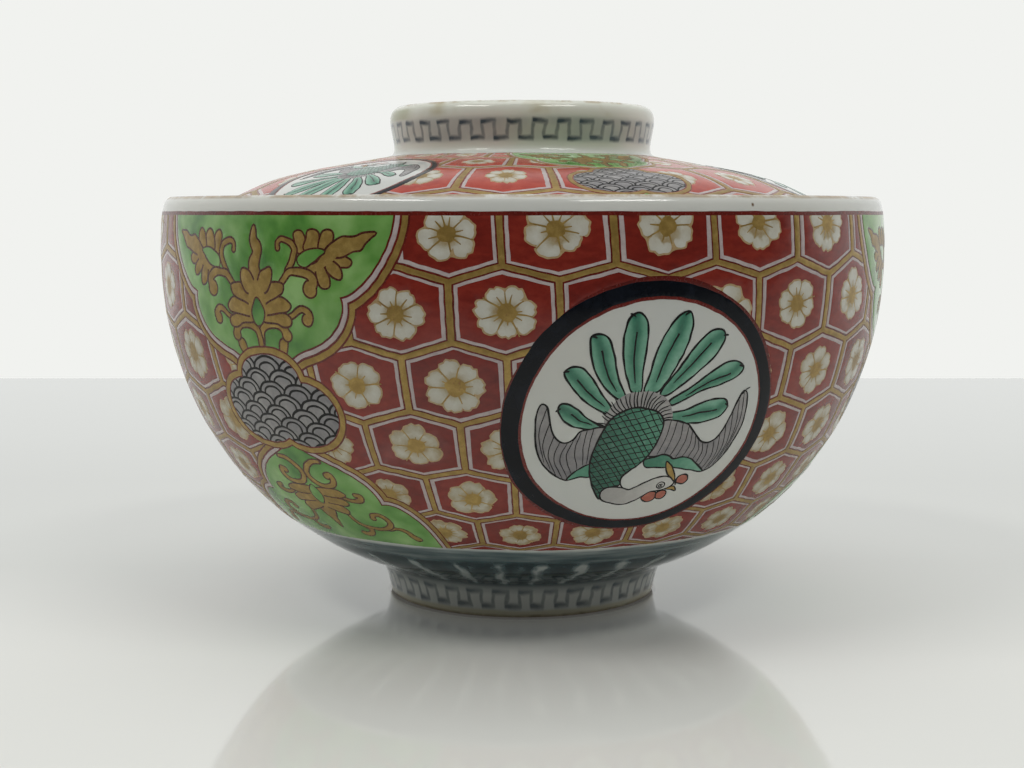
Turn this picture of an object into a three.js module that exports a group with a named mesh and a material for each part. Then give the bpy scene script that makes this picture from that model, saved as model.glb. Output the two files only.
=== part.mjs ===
// Lidded porcelain soup bowl: a turned bowl on a foot ring and a domed lid with a ring
// grip that seats inside the bowl's mouth. Millimetres, +Z up, origin at the centre of
// the foot ring on the table.
import * as THREE from "three";
import { mergeVertices } from "three/addons/utils/BufferGeometryUtils.js";

// ---- driving dimensions ------------------------------------------------------------
const FACETS = 48; // facets round each turned piece
const RIM_TOP_Z = 64.6; // height of the bowl's lip
const RIM_R = 57.35; // outer radius just under the lip
const BELLY_R = 57.75; // widest radius of the bowl
const FOOT_R = 21.65; // outer radius of the foot ring where it stands
const FOOT_FLAT = [18.7, 20.8]; // the flat that touches the table
const FOOT_RECESS_Z = 3.7; // depth of the hollow inside the foot ring
const FLOOR_Z = 8.1; // inside bottom of the bowl
const LID_EDGE_R = 53.85; // outer radius of the lid's edge
const LID_EDGE_Z = 57.2; // lowest point of the lid's edge when it is seated
const GRIP_R = 21.36; // widest radius of the lid's ring grip
const GRIP_TOP_Z = 79.0; // top of the ring grip, and of the whole object
const GRIP_FLAT = [19.3, 20.2]; // flat on top of the ring grip
const GRIP_FLOOR_Z = 72.6; // floor of the hollow inside the ring grip

// ---- profiles, as [radius, height], from the axis round the section and back ---------
const bowlSection = [
  // hollow under the base, inside the foot ring
  [0, FOOT_RECESS_Z],
  [12.0, FOOT_RECESS_Z],
  [16.4, FOOT_RECESS_Z - 0.5],
  [17.6, 1.5],
  [18.2, 0.35],
  // foot ring
  [FOOT_FLAT[0], 0],
  [FOOT_FLAT[1], 0],
  [FOOT_R, 0.35],
  [22.05, 2.0],
  [22.6, 4.0],
  [23.3, 5.2],
  [24.8, 6.33],
  // outer wall, from the foot up to the lip
  [26.5, 7.0],
  [29.1, 8.1],
  [32.8, 10.05],
  [36.2, 12.3],
  [39.6, 14.75],
  [42.6, 17.45],
  [46.2, 21.4],
  [49.0, 25.4],
  [51.4, 29.35],
  [53.3, 33.4],
  [55.2, 38.6],
  [56.7, 44.4],
  [57.45, 49.5],
  [BELLY_R, 56.0],
  [57.62, 60.0],
  [RIM_R, 62.7],
  // rounded lip
  [57.0, 63.9],
  [56.2, RIM_TOP_Z],
  [55.4, 64.2],
  [55.05, 63.2],
  // inner wall, with the slope that the lid's edge seats on
  [54.75, 60.2],
  [54.3, 58.0],
  [53.95, 56.0],
  [53.6, 52.0],
  [52.9, 46.0],
  [51.5, 39.6],
  [49.6, 34.2],
  [47.0, 29.0],
  [43.6, 24.0],
  [39.4, 19.4],
  [34.0, 15.2],
  [27.6, 11.8],
  [20.0, 9.4],
  [11.0, 8.35],
  [0, FLOOR_Z],
];

const lidSection = [
  // underside, from the crown out to the edge
  [0, 69.1],
  [10.0, 68.9],
  [20.0, 68.2],
  [28.0, 67.15],
  [35.0, 65.7],
  [40.0, 64.3],
  [44.0, 62.85],
  [47.0, 61.5],
  [49.5, 60.0],
  [51.5, 58.35],
  // rounded edge
  [52.5, 57.45],
  [53.2, LID_EDGE_Z],
  [LID_EDGE_R, 57.6],
  // dome
  [53.5, 58.8],
  [52.0, 60.45],
  [50.2, 61.95],
  [47.6, 63.8],
  [44.4, 65.5],
  [41.5, 66.8],
  [37.5, 68.05],
  [33.0, 69.05],
  [28.0, 69.95],
  [24.0, 70.65],
  [21.6, 71.15],
  // ring grip
  [20.85, 71.75],
  [20.78, 73.0],
  [21.1, 74.8],
  [GRIP_R, 76.6],
  [21.2, 77.9],
  [20.8, 78.6],
  [GRIP_FLAT[1], GRIP_TOP_Z],
  [GRIP_FLAT[0], GRIP_TOP_Z],
  [18.75, 78.65],
  [18.4, 77.8],
  [17.9, 75.2],
  [17.2, 73.5],
  [15.8, GRIP_FLOOR_Z + 0.1],
  [12.0, GRIP_FLOOR_Z],
  [0, GRIP_FLOOR_Z],
];

// Turns a section about the Z axis into one closed solid.
function turned(section) {
  const points = section.map(([r, z]) => new THREE.Vector2(r, z));
  const g = new THREE.LatheGeometry(points, FACETS);
  g.deleteAttribute("normal");
  g.deleteAttribute("uv");
  g.rotateX(Math.PI / 2);
  // The two caps on the axis leave triangles with no area, which are dropped.
  const merged = mergeVertices(g, 1e-4);
  const index = merged.index.array;
  const kept = [];
  for (let i = 0; i < index.length; i += 3) {
    const [a, b, c] = [index[i], index[i + 1], index[i + 2]];
    if (a !== b && b !== c && a !== c) kept.push(a, b, c);
  }
  merged.setIndex(kept);
  merged.computeVertexNormals();
  return merged;
}

function piece(name, section, colour, roughness) {
  const material = new THREE.MeshStandardMaterial({
    color: new THREE.Color().setRGB(...colour, THREE.SRGBColorSpace),
    roughness,
    metalness: 0,
  });
  const mesh = new THREE.Mesh(turned(section), material);
  mesh.name = name;
  return mesh;
}

// ---- the assembly --------------------------------------------------------------------
const bowlGroup = new THREE.Group();
bowlGroup.add(piece("soup_bowl", bowlSection, [0.62, 0.25, 0.19], 0.18));

// The lid stands in its seated place, so its section is in the bowl's own heights.
const lidGroup = new THREE.Group();
lidGroup.add(piece("bowl_lid", lidSection, [0.66, 0.3, 0.24], 0.18));

const liddedBowl = new THREE.Group();
liddedBowl.add(bowlGroup, lidGroup);

export default liddedBowl;
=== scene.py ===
import math
import random

import bpy
import numpy as np
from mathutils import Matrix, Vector
from mathutils.geometry import delaunay_2d_cdt


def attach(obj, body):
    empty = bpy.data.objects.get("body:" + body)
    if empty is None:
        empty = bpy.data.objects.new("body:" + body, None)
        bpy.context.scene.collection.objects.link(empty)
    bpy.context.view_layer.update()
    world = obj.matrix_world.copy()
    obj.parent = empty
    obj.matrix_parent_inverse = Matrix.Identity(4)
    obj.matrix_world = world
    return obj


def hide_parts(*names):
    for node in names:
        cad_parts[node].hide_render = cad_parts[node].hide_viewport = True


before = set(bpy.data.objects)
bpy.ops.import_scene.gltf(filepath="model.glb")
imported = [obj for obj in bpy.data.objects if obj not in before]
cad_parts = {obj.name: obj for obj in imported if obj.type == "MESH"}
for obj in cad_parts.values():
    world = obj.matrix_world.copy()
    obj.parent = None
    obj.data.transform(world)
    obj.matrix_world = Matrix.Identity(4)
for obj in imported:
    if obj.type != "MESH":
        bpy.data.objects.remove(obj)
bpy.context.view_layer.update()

MM = 0.001

# ---- the turned sections, [radius, height] in mm -----------------------------------------------
BOWL_SECTION = [
    # hollow under the base
    (0, 3.7), (6.0, 3.7), (12.0, 3.7), (16.4, 3.2), (17.6, 1.5), (18.2, 0.35),
    # foot ring
    (18.7, 0), (19.3, 0), (20.2, 0), (20.8, 0), (21.65, 0.35), (22.05, 2.0), (22.6, 4.0), (23.3, 5.2), (24.8, 6.33),
    # outer wall
    (26.5, 7.0), (29.1, 8.1), (32.8, 10.05), (36.2, 12.3), (39.6, 14.75), (42.6, 17.45), (46.2, 21.4),
    (49.0, 25.4), (51.4, 29.35), (53.3, 33.4), (55.2, 38.6), (56.7, 44.4), (57.45, 49.5), (57.75, 56.0),
    (57.62, 60.0), (57.35, 62.7),
    # lip
    (57.0, 63.9), (56.2, 64.6), (55.4, 64.2), (55.05, 63.2),
    # inner wall
    (54.75, 60.2), (54.3, 58.0), (53.95, 56.0), (53.6, 52.0), (52.9, 46.0), (51.5, 39.6), (49.6, 34.2),
    (47.0, 29.0), (43.6, 24.0), (39.4, 19.4), (34.0, 15.2), (27.6, 11.8), (20.0, 9.4), (11.0, 8.35), (0, 8.1),
]
LID_SECTION = [
    # underside
    (0, 69.1), (10.0, 68.9), (20.0, 68.2), (28.0, 67.15), (35.0, 65.7), (40.0, 64.3), (44.0, 62.85),
    (47.0, 61.5), (49.5, 60.0), (51.5, 58.35),
    # edge
    (52.5, 57.45), (53.2, 57.2), (53.85, 57.6),
    # dome
    (53.5, 58.8), (52.0, 60.45), (50.2, 61.95), (47.6, 63.8), (44.4, 65.5), (41.5, 66.8), (37.5, 68.05),
    (33.0, 69.05), (28.0, 69.95), (24.0, 70.65), (21.6, 71.15),
    # ring grip
    (20.85, 71.75), (20.78, 73.0), (21.1, 74.8), (21.36, 76.6), (21.2, 77.9), (20.8, 78.6), (20.2, 79.0),
    (19.3, 79.0), (18.75, 78.65), (18.4, 77.8), (17.9, 75.2), (17.2, 73.5), (15.8, 72.7), (12.0, 72.6), (0, 72.6),
]


# ---- curves and turned bodies --------------------------------------------------------------------
def spline(points, step, closed=False, axis_ends=False):
    """Dense points on a centripetal Catmull-Rom curve through points, and the index of each given point."""
    p = np.asarray(points, float)
    if closed:
        ext = np.vstack([p[-1:], p, p[:2]])
    elif axis_ends:
        ext = np.vstack([p[1:2] * (-1, 1), p, p[-2:-1] * (-1, 1)])
    else:
        ext = np.vstack([2 * p[:1] - p[1:2], p, 2 * p[-1:] - p[-2:-1]])
    out, knots, count = [], [], 0
    for i in range(len(p) if closed else len(p) - 1):
        a, b, c, d = ext[i:i + 4]
        t0 = 0.0
        t1 = t0 + math.sqrt(max(np.hypot(*(b - a)), 1e-9))
        t2 = t1 + math.sqrt(max(np.hypot(*(c - b)), 1e-9))
        t3 = t2 + math.sqrt(max(np.hypot(*(d - c)), 1e-9))
        m = max(1, math.ceil(np.hypot(*(c - b)) / step))
        t = (t1 + (t2 - t1) * np.arange(m) / m)[:, None]
        ab = ((t1 - t) * a + (t - t0) * b) / (t1 - t0)
        bc = ((t2 - t) * b + (t - t1) * c) / (t2 - t1)
        cd = ((t3 - t) * c + (t - t2) * d) / (t3 - t2)
        abc = ((t2 - t) * ab + (t - t0) * bc) / (t2 - t0)
        bcd = ((t3 - t) * bc + (t - t1) * cd) / (t3 - t1)
        out.append(((t2 - t) * abc + (t - t1) * bcd) / (t2 - t1))
        knots.append(count)
        count += m
    if not closed:
        out.append(p[-1:])
        knots.append(count)
    return np.vstack(out), knots


def mesh_object(name, verts, *groups):
    """A mesh object from points and arrays of faces, each array with one number of corners."""
    mesh = bpy.data.meshes.new(name)
    groups = [np.asarray(g, np.int32) for g in groups]
    corners = np.concatenate([g.ravel() for g in groups])
    sizes = np.concatenate([np.full(len(g), g.shape[1], np.int32) for g in groups])
    mesh.vertices.add(len(verts))
    mesh.vertices.foreach_set("co", np.asarray(verts, np.float32).ravel())
    mesh.loops.add(len(corners))
    mesh.loops.foreach_set("vertex_index", corners)
    mesh.polygons.add(len(sizes))
    mesh.polygons.foreach_set("loop_start", np.concatenate([[0], np.cumsum(sizes)[:-1]]).astype(np.int32))
    mesh.polygons.foreach_set("use_smooth", np.ones(len(sizes), bool))
    mesh.update(calc_edges=True)
    obj = bpy.data.objects.new(name, mesh)
    bpy.context.scene.collection.objects.link(obj)
    return obj


def turned(name, profile, segments, strips):
    """A closed body of revolution. strips gives the share of the map's height for each run of the section."""
    n = len(profile)
    th = np.arange(segments) * 2 * math.pi / segments
    ring = np.stack([np.sin(th), -np.cos(th)], 1)
    verts = [np.array([[0, 0, profile[0, 1]]])]
    for r, z in profile[1:-1]:
        verts.append(np.column_stack([ring * r, np.full(segments, z)]))
    verts.append(np.array([[0, 0, profile[-1, 1]]]))
    verts = np.vstack(verts) * MM
    last = len(verts) - 1

    # the map is one row per run of the section, each as wide as the turn
    tris, quads, tri_uv, quad_uv = [], [], [], []
    j = np.arange(segments)
    k = (j + 1) % segments
    u0, u1 = 0.002 + 0.996 * j / segments, 0.002 + 0.996 * (j + 1) / segments
    at = 0.0
    for i0, i1, share in strips:
        run = np.hypot(*np.diff(profile[i0:i1 + 1], axis=0).T)
        vv = at + 0.004 + np.concatenate([[0], np.cumsum(run)]) / run.sum() * (share - 0.008)
        at += share
        for i in range(i0, i1):
            va, vb = np.full(segments, vv[i - i0]), np.full(segments, vv[i - i0 + 1])
            b = 1 + (i - 1) * segments
            if i == 0:
                tris.append(np.column_stack([0 * j, 1 + k, 1 + j]))
                tri_uv.append(np.column_stack([(u0 + u1) / 2, va, u1, vb, u0, vb]))
            elif i == n - 2:
                tris.append(np.column_stack([b + j, b + k, 0 * j + last]))
                tri_uv.append(np.column_stack([u0, va, u1, va, (u0 + u1) / 2, vb]))
            else:
                quads.append(np.column_stack([b + j, b + k, b + segments + k, b + segments + j]))
                quad_uv.append(np.column_stack([u0, va, u1, va, u1, vb, u0, vb]))
    obj = mesh_object(name, verts, np.vstack(tris), np.vstack(quads))
    layer = obj.data.uv_layers.new(name="OFBake")
    layer.data.foreach_set("uv", np.concatenate([np.vstack(tri_uv).ravel(), np.vstack(quad_uv).ravel()]).astype(np.float32))
    return obj


class Surface:
    """The decorated side of a turned body, by angle from the front and by w, the run along the section over the radius, so that shapes keep their angles."""

    def __init__(self, rz, zero):
        d = np.hypot(*np.diff(rz, axis=0).T)
        w = np.concatenate([[0], np.cumsum(d / ((rz[1:, 0] + rz[:-1, 0]) / 2))])
        self.w = w - w[zero]
        self.r, self.z = rz[:, 0], rz[:, 1]
        t = np.gradient(rz, axis=0)
        t /= np.hypot(t[:, 0], t[:, 1])[:, None]
        self.tr, self.tz = t[:, 0], t[:, 1]

    def at(self, w):
        return np.interp(w, self.w, self.r), np.interp(w, self.w, self.z)

    def place(self, th, w, h):
        """Points at height h (mm) over the surface, with the normal, the way round and the way up."""
        r, z = self.at(w)
        tr, tz = np.interp(w, self.w, self.tr), np.interp(w, self.w, self.tz)
        nr, nz = -tz, tr
        s, c = np.sin(th), -np.cos(th)
        normal = np.column_stack([nr * s, nr * c, nz])
        round_ = np.column_stack([-c, s, np.zeros_like(s)])
        up = np.column_stack([-tr * s, -tr * c, -tz])
        point = np.column_stack([r * s, r * c, z]) + normal * np.reshape(h, (-1, 1))
        return point * MM, normal, round_, up


class Wobble:
    """The unsteadiness of a hand-held brush: a smooth shift of every painted point, closed round the turn."""

    def __init__(self, seed, slow=1.0, fine=1.0, steady=None):
        self.steady = steady
        rng = random.Random(seed)
        self.terms = []
        for _ in range(9):
            self.terms.append((slow * rng.uniform(0.7, 1.5), rng.randint(3, 17), rng.uniform(-14, 14), rng.uniform(0, 6.3), rng.randint(0, 1)))
        for _ in range(16):
            self.terms.append((fine * rng.uniform(0.25, 0.5), rng.randint(50, 190), rng.uniform(-170, 170), rng.uniform(0, 6.3), rng.randint(0, 1)))

    def __call__(self, th, w):
        dx, dy = np.zeros_like(th), np.zeros_like(w)
        for amp, k, l, ph, way in self.terms:
            v = amp * 0.001 * np.sin(k * th + l * w + ph)
            if way:
                dx += v
            else:
                dy += v
        if self.steady is not None:
            # the line along the rim was drawn on a wheel
            dy *= np.clip((w - self.steady) / 0.05, 0.12, 1.0)
        return th + dx, w + dy


# ---- flat shapes, in thousandths of a radian round a motif's centre (x to the right, y up) -----------
def ccw(p):
    p = np.asarray(p, float)
    x, y = p[:, 0], p[:, 1]
    return p if np.dot(x, np.roll(y, -1)) - np.dot(y, np.roll(x, -1)) > 0 else p[::-1]


def dense(p, step=12.0):
    p = np.asarray(p, float)
    out = []
    for a, b in zip(p, np.roll(p, -1, axis=0)):
        m = max(1, math.ceil(np.hypot(*(b - a)) / step))
        out.append(a + (b - a) * (np.arange(m) / m)[:, None])
    return np.vstack(out)


def loop(points, step=6.0):
    return spline(points, step, closed=True)[0]


def path(points, step=6.0):
    return spline(points, step)[0]


def grown(p, d):
    """A smooth closed outline moved out by d."""
    p = ccw(p)
    t = np.roll(p, -1, axis=0) - np.roll(p, 1, axis=0)
    t /= np.maximum(np.hypot(t[:, 0], t[:, 1]), 1e-9)[:, None]
    return p + d * np.column_stack([t[:, 1], -t[:, 0]])


def inset(p, d):
    """A convex outline moved in by d, one distance for each side."""
    p = ccw(p)
    n = len(p)
    d = np.broadcast_to(d, (n,))
    q = np.roll(p, -1, axis=0)
    t = (q - p) / np.hypot(*(q - p).T)[:, None]
    base = p + d[:, None] * np.column_stack([-t[:, 1], t[:, 0]])
    out = []
    for i in range(n):
        a, ta, b, tb = base[i - 1], t[i - 1], base[i], t[i]
        det = ta[0] * -tb[1] + tb[0] * ta[1]
        s = ((b - a)[0] * -tb[1] + tb[0] * (b - a)[1]) / det
        out.append(a + s * ta)
    return np.array(out)


def crossing(a, b, near):
    """Where polyline a crosses polyline b, closest to near: (index in a, index in b, point)."""
    p, r = a[:-1], np.diff(a, axis=0)
    q, s = b[:-1], np.diff(b, axis=0)
    den = r[:, None, 0] * s[None, :, 1] - r[:, None, 1] * s[None, :, 0]
    den = np.where(np.abs(den) < 1e-12, 1e-12, den)
    qp = q[None] - p[:, None]
    t = (qp[..., 0] * s[None, :, 1] - qp[..., 1] * s[None, :, 0]) / den
    u = (qp[..., 0] * r[:, None, 1] - qp[..., 1] * r[:, None, 0]) / den
    hit = np.argwhere((t >= 0) & (t <= 1) & (u >= 0) & (u <= 1))
    if not len(hit):
        return None
    pts = np.array([p[i] + t[i, j] * r[i] for i, j in hit])
    k = np.argmin(np.hypot(*(pts - near).T))
    return hit[k][0], hit[k][1], pts[k]


def outline(arcs, d=0.0, reach=45.0):
    """The closed outline of smooth arcs that meet in corners, counter-clockwise, moved out by d with its corners kept sharp."""
    moved = []
    for a in arcs:
        t = np.gradient(a, axis=0)
        t /= np.hypot(t[:, 0], t[:, 1])[:, None]
        b = a + d * np.column_stack([t[:, 1], -t[:, 0]])
        if d:
            b = np.vstack([b[0] - t[0] * reach, b, b[-1] + t[-1] * reach])
        moved.append(b)
    if not d:
        return np.vstack([m[:-1] for m in moved])
    n = len(moved)
    starts, ends, points = [0] * n, [0] * n, [None] * n
    for i in range(n):
        j = (i + 1) % n
        x = crossing(moved[i], moved[j], arcs[i][-1])
        if x is None:
            ends[i], starts[j] = len(moved[i]) - 2, 1
            points[i] = (moved[i][-2] + moved[j][1]) / 2
        else:
            ends[i], starts[j], points[i] = x
    out = []
    for i in range(n):
        out.append(points[i - 1][None])
        out.append(moved[i][starts[i] + 1:ends[i] + 1])
    return np.vstack(out)


def mirrored(arcs):
    """The same arcs on the other side of the middle line, still counter-clockwise."""
    return [a[::-1] * (-1, 1) for a in arcs[::-1]]


def ribbon(points, width, rng=None, closed=False, ends=(0.5, 0.35), rough=0.12):
    """A brush stroke along a path, as four-sided shapes. width is one number, or one for each given share of the path."""
    p = np.asarray(points, float)
    if closed:
        p = np.vstack([p, p[:1]])
    n = len(p)
    t = np.gradient(p, axis=0)
    if closed:
        t[0] = t[-1] = p[1] - p[-2]
    t /= np.maximum(np.hypot(t[:, 0], t[:, 1]), 1e-9)[:, None]
    s = np.linspace(0, 1, n)
    if np.ndim(width):
        hw = np.interp(s, np.linspace(0, 1, len(width)), width) / 2
    else:
        hw = np.full(n, width / 2.0)
        if not closed:
            hw = hw * np.interp(s, [0, 0.12, 0.85, 1], [ends[0], 1, 1, ends[1]])
    if rng is not None and rough:
        k = np.array([rng.uniform(-1, 1) for _ in range(max(3, n // 3))])
        if closed:
            k[-1] = k[0]
        hw = hw * (1 + rough * np.interp(s, np.linspace(0, 1, len(k)), k))
    side = np.column_stack([-t[:, 1], t[:, 0]]) * hw[:, None]
    left, right = p + side, p - side
    return [np.array([right[i], right[i + 1], left[i + 1], left[i]]) for i in range(n - 1)]


def disc(cx, cy, rx, ry=None, n=28, turn=0.0):
    a = np.linspace(0, 2 * math.pi, n, endpoint=False)
    x, y = rx * np.cos(a), (ry or rx) * np.sin(a)
    c, s = math.cos(turn), math.sin(turn)
    return np.column_stack([cx + c * x - s * y, cy + s * x + c * y])


def inside(p, pts):
    """Which of pts lie inside the outline p."""
    if len(p) * len(pts) > 4000000:
        half = len(pts) // 2
        return np.concatenate([inside(p, pts[:half]), inside(p, pts[half:])])
    x0, y0 = p[:, 0], p[:, 1]
    x1, y1 = np.roll(x0, -1), np.roll(y0, -1)
    x, y = pts[:, :1], pts[:, 1:]
    rise = np.where(y1 == y0, 1.0, y1 - y0)
    hit = ((y0 > y) != (y1 > y)) & (x < (x1 - x0) * (y - y0) / rise + x0)
    return hit.sum(axis=1) % 2 == 1


# ---- painting: shapes laid over each other, then parted into coats that only meet ------------------
class Coats:
    """Everything painted on one surface, by colour."""

    def __init__(self, surface, wobble):
        self.surface, self.wobble = surface, wobble
        self.parts = {}

    def put(self, colour, v, t, tone):
        self.parts.setdefault(colour, []).append((v, t, tone))

    def paint(self, shapes, th0, w0):
        """shapes, lowest first, are (colour, outline, tone, only inside this shape's place in the list, mesh step). A colour of None leaves the glaze bare."""
        pts, faces, count = [], [], 0
        for colour, p, tone, within, step in shapes:
            p = ccw(p)
            pts.append(p)
            faces.append(list(range(count, count + len(p))))
            count += len(p)
        for colour, p, tone, within, step in shapes:
            if step:
                lo, hi = p.min(0), p.max(0)
                gx = np.arange(lo[0], hi[0], step)
                gy = np.arange(lo[1], hi[1], step * 0.866)
                g = np.array([(x + (j % 2) * step / 2 + 0.11 * step * math.sin(7 * j + 3 * i), y + 0.11 * step * math.sin(5 * i + 2 * j)) for i, x in enumerate(gx) for j, y in enumerate(gy)])
                if len(g):
                    g = g[inside(p, g)]
                    if len(g):
                        pts.append(g)
        coords = [Vector((float(x), float(y))) for x, y in np.vstack(pts)]
        v, _, f, _, _, _ = delaunay_2d_cdt(coords, [], faces, 1, 1e-3, True)
        v = np.array([(a.x, a.y) for a in v])
        f = np.array(f)
        mid = v[f].mean(axis=1)
        order = np.argsort(mid[:, 0])
        f, mid = f[order], mid[order]
        owner = np.full(len(f), -1)
        held = {}
        for k in range(len(shapes) - 1, -1, -1):
            p = pts[k]
            lo, hi = p.min(0), p.max(0)
            i0, i1 = np.searchsorted(mid[:, 0], (lo[0], hi[0]))
            at = i0 + np.flatnonzero((owner[i0:i1] < 0) & (mid[i0:i1, 1] > lo[1]) & (mid[i0:i1, 1] < hi[1]))
            if not len(at):
                continue
            at = at[inside(p, mid[at])]
            within = shapes[k][3]
            if within is not None and len(at):
                if within not in held:
                    held[within] = inside(pts[within], mid)
                at = at[held[within][at]]
            owner[at] = k
        chosen = {}
        for k in np.unique(owner):
            if k >= 0 and shapes[k][0] is not None:
                chosen[k] = f[owner == k]
        for k, tris in chosen.items():
            t = np.array(tris)
            used, back = np.unique(t, return_inverse=True)
            lv = v[used]
            tone = shapes[k][2]
            tone = tone(lv) if callable(tone) else np.full(len(lv), tone)
            g = np.column_stack([th0 + lv[:, 0] / 1000, w0 - lv[:, 1] / 1000])
            self.put(shapes[k][0], g, back.reshape(-1, 3), tone)

    def ring(self, colour, w0, w1, seed, rough=0.15, tone=0.5, n=960):
        """A painted line all the way round, whose first edge is unsteady."""
        rng = random.Random(seed)
        terms = [(rng.uniform(0.3, 1), rng.randint(6, 120), rng.uniform(0, 6.3)) for _ in range(12)]
        th = np.linspace(0, 2 * math.pi, n, endpoint=False)
        k = sum(a * np.sin(m * th + p) for a, m, p in terms) / 3.0
        a = np.column_stack([th, w0 + (w1 - w0) * rough * k])
        b = np.column_stack([th, np.full(n, w1)])
        i = np.arange(n)
        j = (i + 1) % n
        lo_first = w1 > w0
        quads = np.column_stack([i + n, j + n, j, i]) if lo_first else np.column_stack([i, j, j + n, i + n])
        tris = np.vstack([quads[:, [0, 1, 2]], quads[:, [0, 2, 3]]])
        self.put(colour, np.vstack([a, b]), tris, np.full(2 * n, tone))

    def solid(self, name, colour, top, tilt):
        """The coat of one colour as closed thin bodies that stand on the glaze, their edges sunk into it."""
        vs, ts, tones, count = [], [], [], 0
        for v, t, tone in self.parts[colour]:
            vs.append(v)
            ts.append(t + count)
            tones.append(tone)
            count += len(v)
        v, t, tone = np.vstack(vs), np.vstack(ts), np.concatenate(tones)
        v[:, 0] %= 2 * math.pi
        v[v[:, 0] > 2 * math.pi - 2e-6, 0] = 0.0
        label = np.arange(len(v))
        rep = v
        cell = 1.2e-5
        for sx, sy in ((0, 0), (0.5, 0), (0, 0.5), (0.5, 0.5)):
            key = np.floor(rep / cell + (sx, sy)).astype(np.int64)
            _, first, back = np.unique(key[:, 0] * 1000003 * 4096 + key[:, 1], return_index=True, return_inverse=True)
            rep = rep[first]
            label = back.reshape(-1)[label]
        tone_new = np.zeros(len(rep))
        tone_new[label] = tone
        t = label[t]
        t = t[(t[:, 0] != t[:, 1]) & (t[:, 1] != t[:, 2]) & (t[:, 2] != t[:, 0])]
        t = t[np.sort(np.unique(np.sort(t, axis=1), axis=0, return_index=True)[1])]
        used, back = np.unique(t, return_inverse=True)
        rep, tone_new, t = rep[used], tone_new[used], back.reshape(-1, 3)

        e = np.vstack([t[:, [0, 1]], t[:, [1, 2]], t[:, [2, 0]]])
        code = np.sort(e, axis=1).astype(np.int64)
        _, inv, n_of = np.unique(code[:, 0] * len(rep) + code[:, 1], return_inverse=True, return_counts=True)
        rim = e[n_of[inv.reshape(-1)] == 1]

        th, w = self.wobble(rep[:, 0], rep[:, 1])
        up_pt, normal, round_, up = self.surface.place(th, w, np.full(len(rep), top))
        low_pt = self.surface.place(th, w, np.full(len(rep), -0.03))[0]
        # the coat's edge leans over, as a drop of enamel does
        d = rep[rim[:, 1]] - rep[rim[:, 0]]
        d[:, 0] = (d[:, 0] + math.pi) % (2 * math.pi) - math.pi
        out = np.column_stack([-d[:, 1], -d[:, 0]])
        out = np.column_stack([out[:, 0], out[:, 1]]) / np.maximum(np.hypot(d[:, 0], d[:, 1]), 1e-12)[:, None]
        lean = np.zeros((len(rep), 2))
        np.add.at(lean, rim[:, 0], out)
        np.add.at(lean, rim[:, 1], out)
        size = np.hypot(lean[:, 0], lean[:, 1])
        lean[size > 0] /= size[size > 0][:, None]
        tilted = normal + tilt * (lean[:, :1] * round_ + lean[:, 1:] * up)
        tilted /= np.linalg.norm(tilted, axis=1)[:, None]

        n = len(rep)
        obj = mesh_object(name, np.vstack([up_pt, low_pt]), np.vstack([t, t[:, ::-1] + n]), np.column_stack([rim[:, 0], rim[:, 0] + n, rim[:, 1] + n, rim[:, 1]]))
        me = obj.data
        # the painted plane itself, in three strips, is the coat's map; its edges fold in under it
        fold = rep + 0.003 * np.column_stack([-lean[:, 0], lean[:, 1]])
        low, high = rep[:, 1].min(), rep[:, 1].max()
        corners = []
        for faces in (rep[t], rep[t[:, ::-1]], np.stack([rep[rim[:, 0]], fold[rim[:, 0]], fold[rim[:, 1]], rep[rim[:, 1]]], axis=1)):
            flat = faces.copy()
            flat[:, :, 0] = faces[:, :1, 0] + (faces[:, :, 0] - faces[:, :1, 0] + math.pi) % (2 * math.pi) - math.pi
            mid = flat[:, :, 0].mean(axis=1)
            flat[:, :, 0] -= (np.floor(mid / (2 * math.pi)) * 2 * math.pi)[:, None]
            strip = np.floor((mid % (2 * math.pi)) / (2 * math.pi / 3))[:, None]
            u = 0.02 + 0.96 * (flat[:, :, 0] / (2 * math.pi / 3) - strip)
            v_ = (strip + 0.02 + 0.96 * (flat[:, :, 1] - low) / (high - low)) / 3
            corners.append(np.stack([u, v_], axis=2).reshape(-1, 2))
        layer = me.uv_layers.new(name="OFBake")
        layer.data.foreach_set("uv", np.vstack(corners).clip(0, 1).astype(np.float32).ravel())
        attr = me.attributes.new("tone", "FLOAT", "POINT")
        attr.data.foreach_set("value", np.concatenate([tone_new, tone_new]).astype(np.float32))
        me.normals_split_custom_set_from_vertices(np.vstack([tilted, tilted]).tolist())
        me.update()
        return obj


def shape(colour, p, tone=0.5, within=None, step=0):
    return (colour, np.asarray(p, float), tone, within, step)


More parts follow.
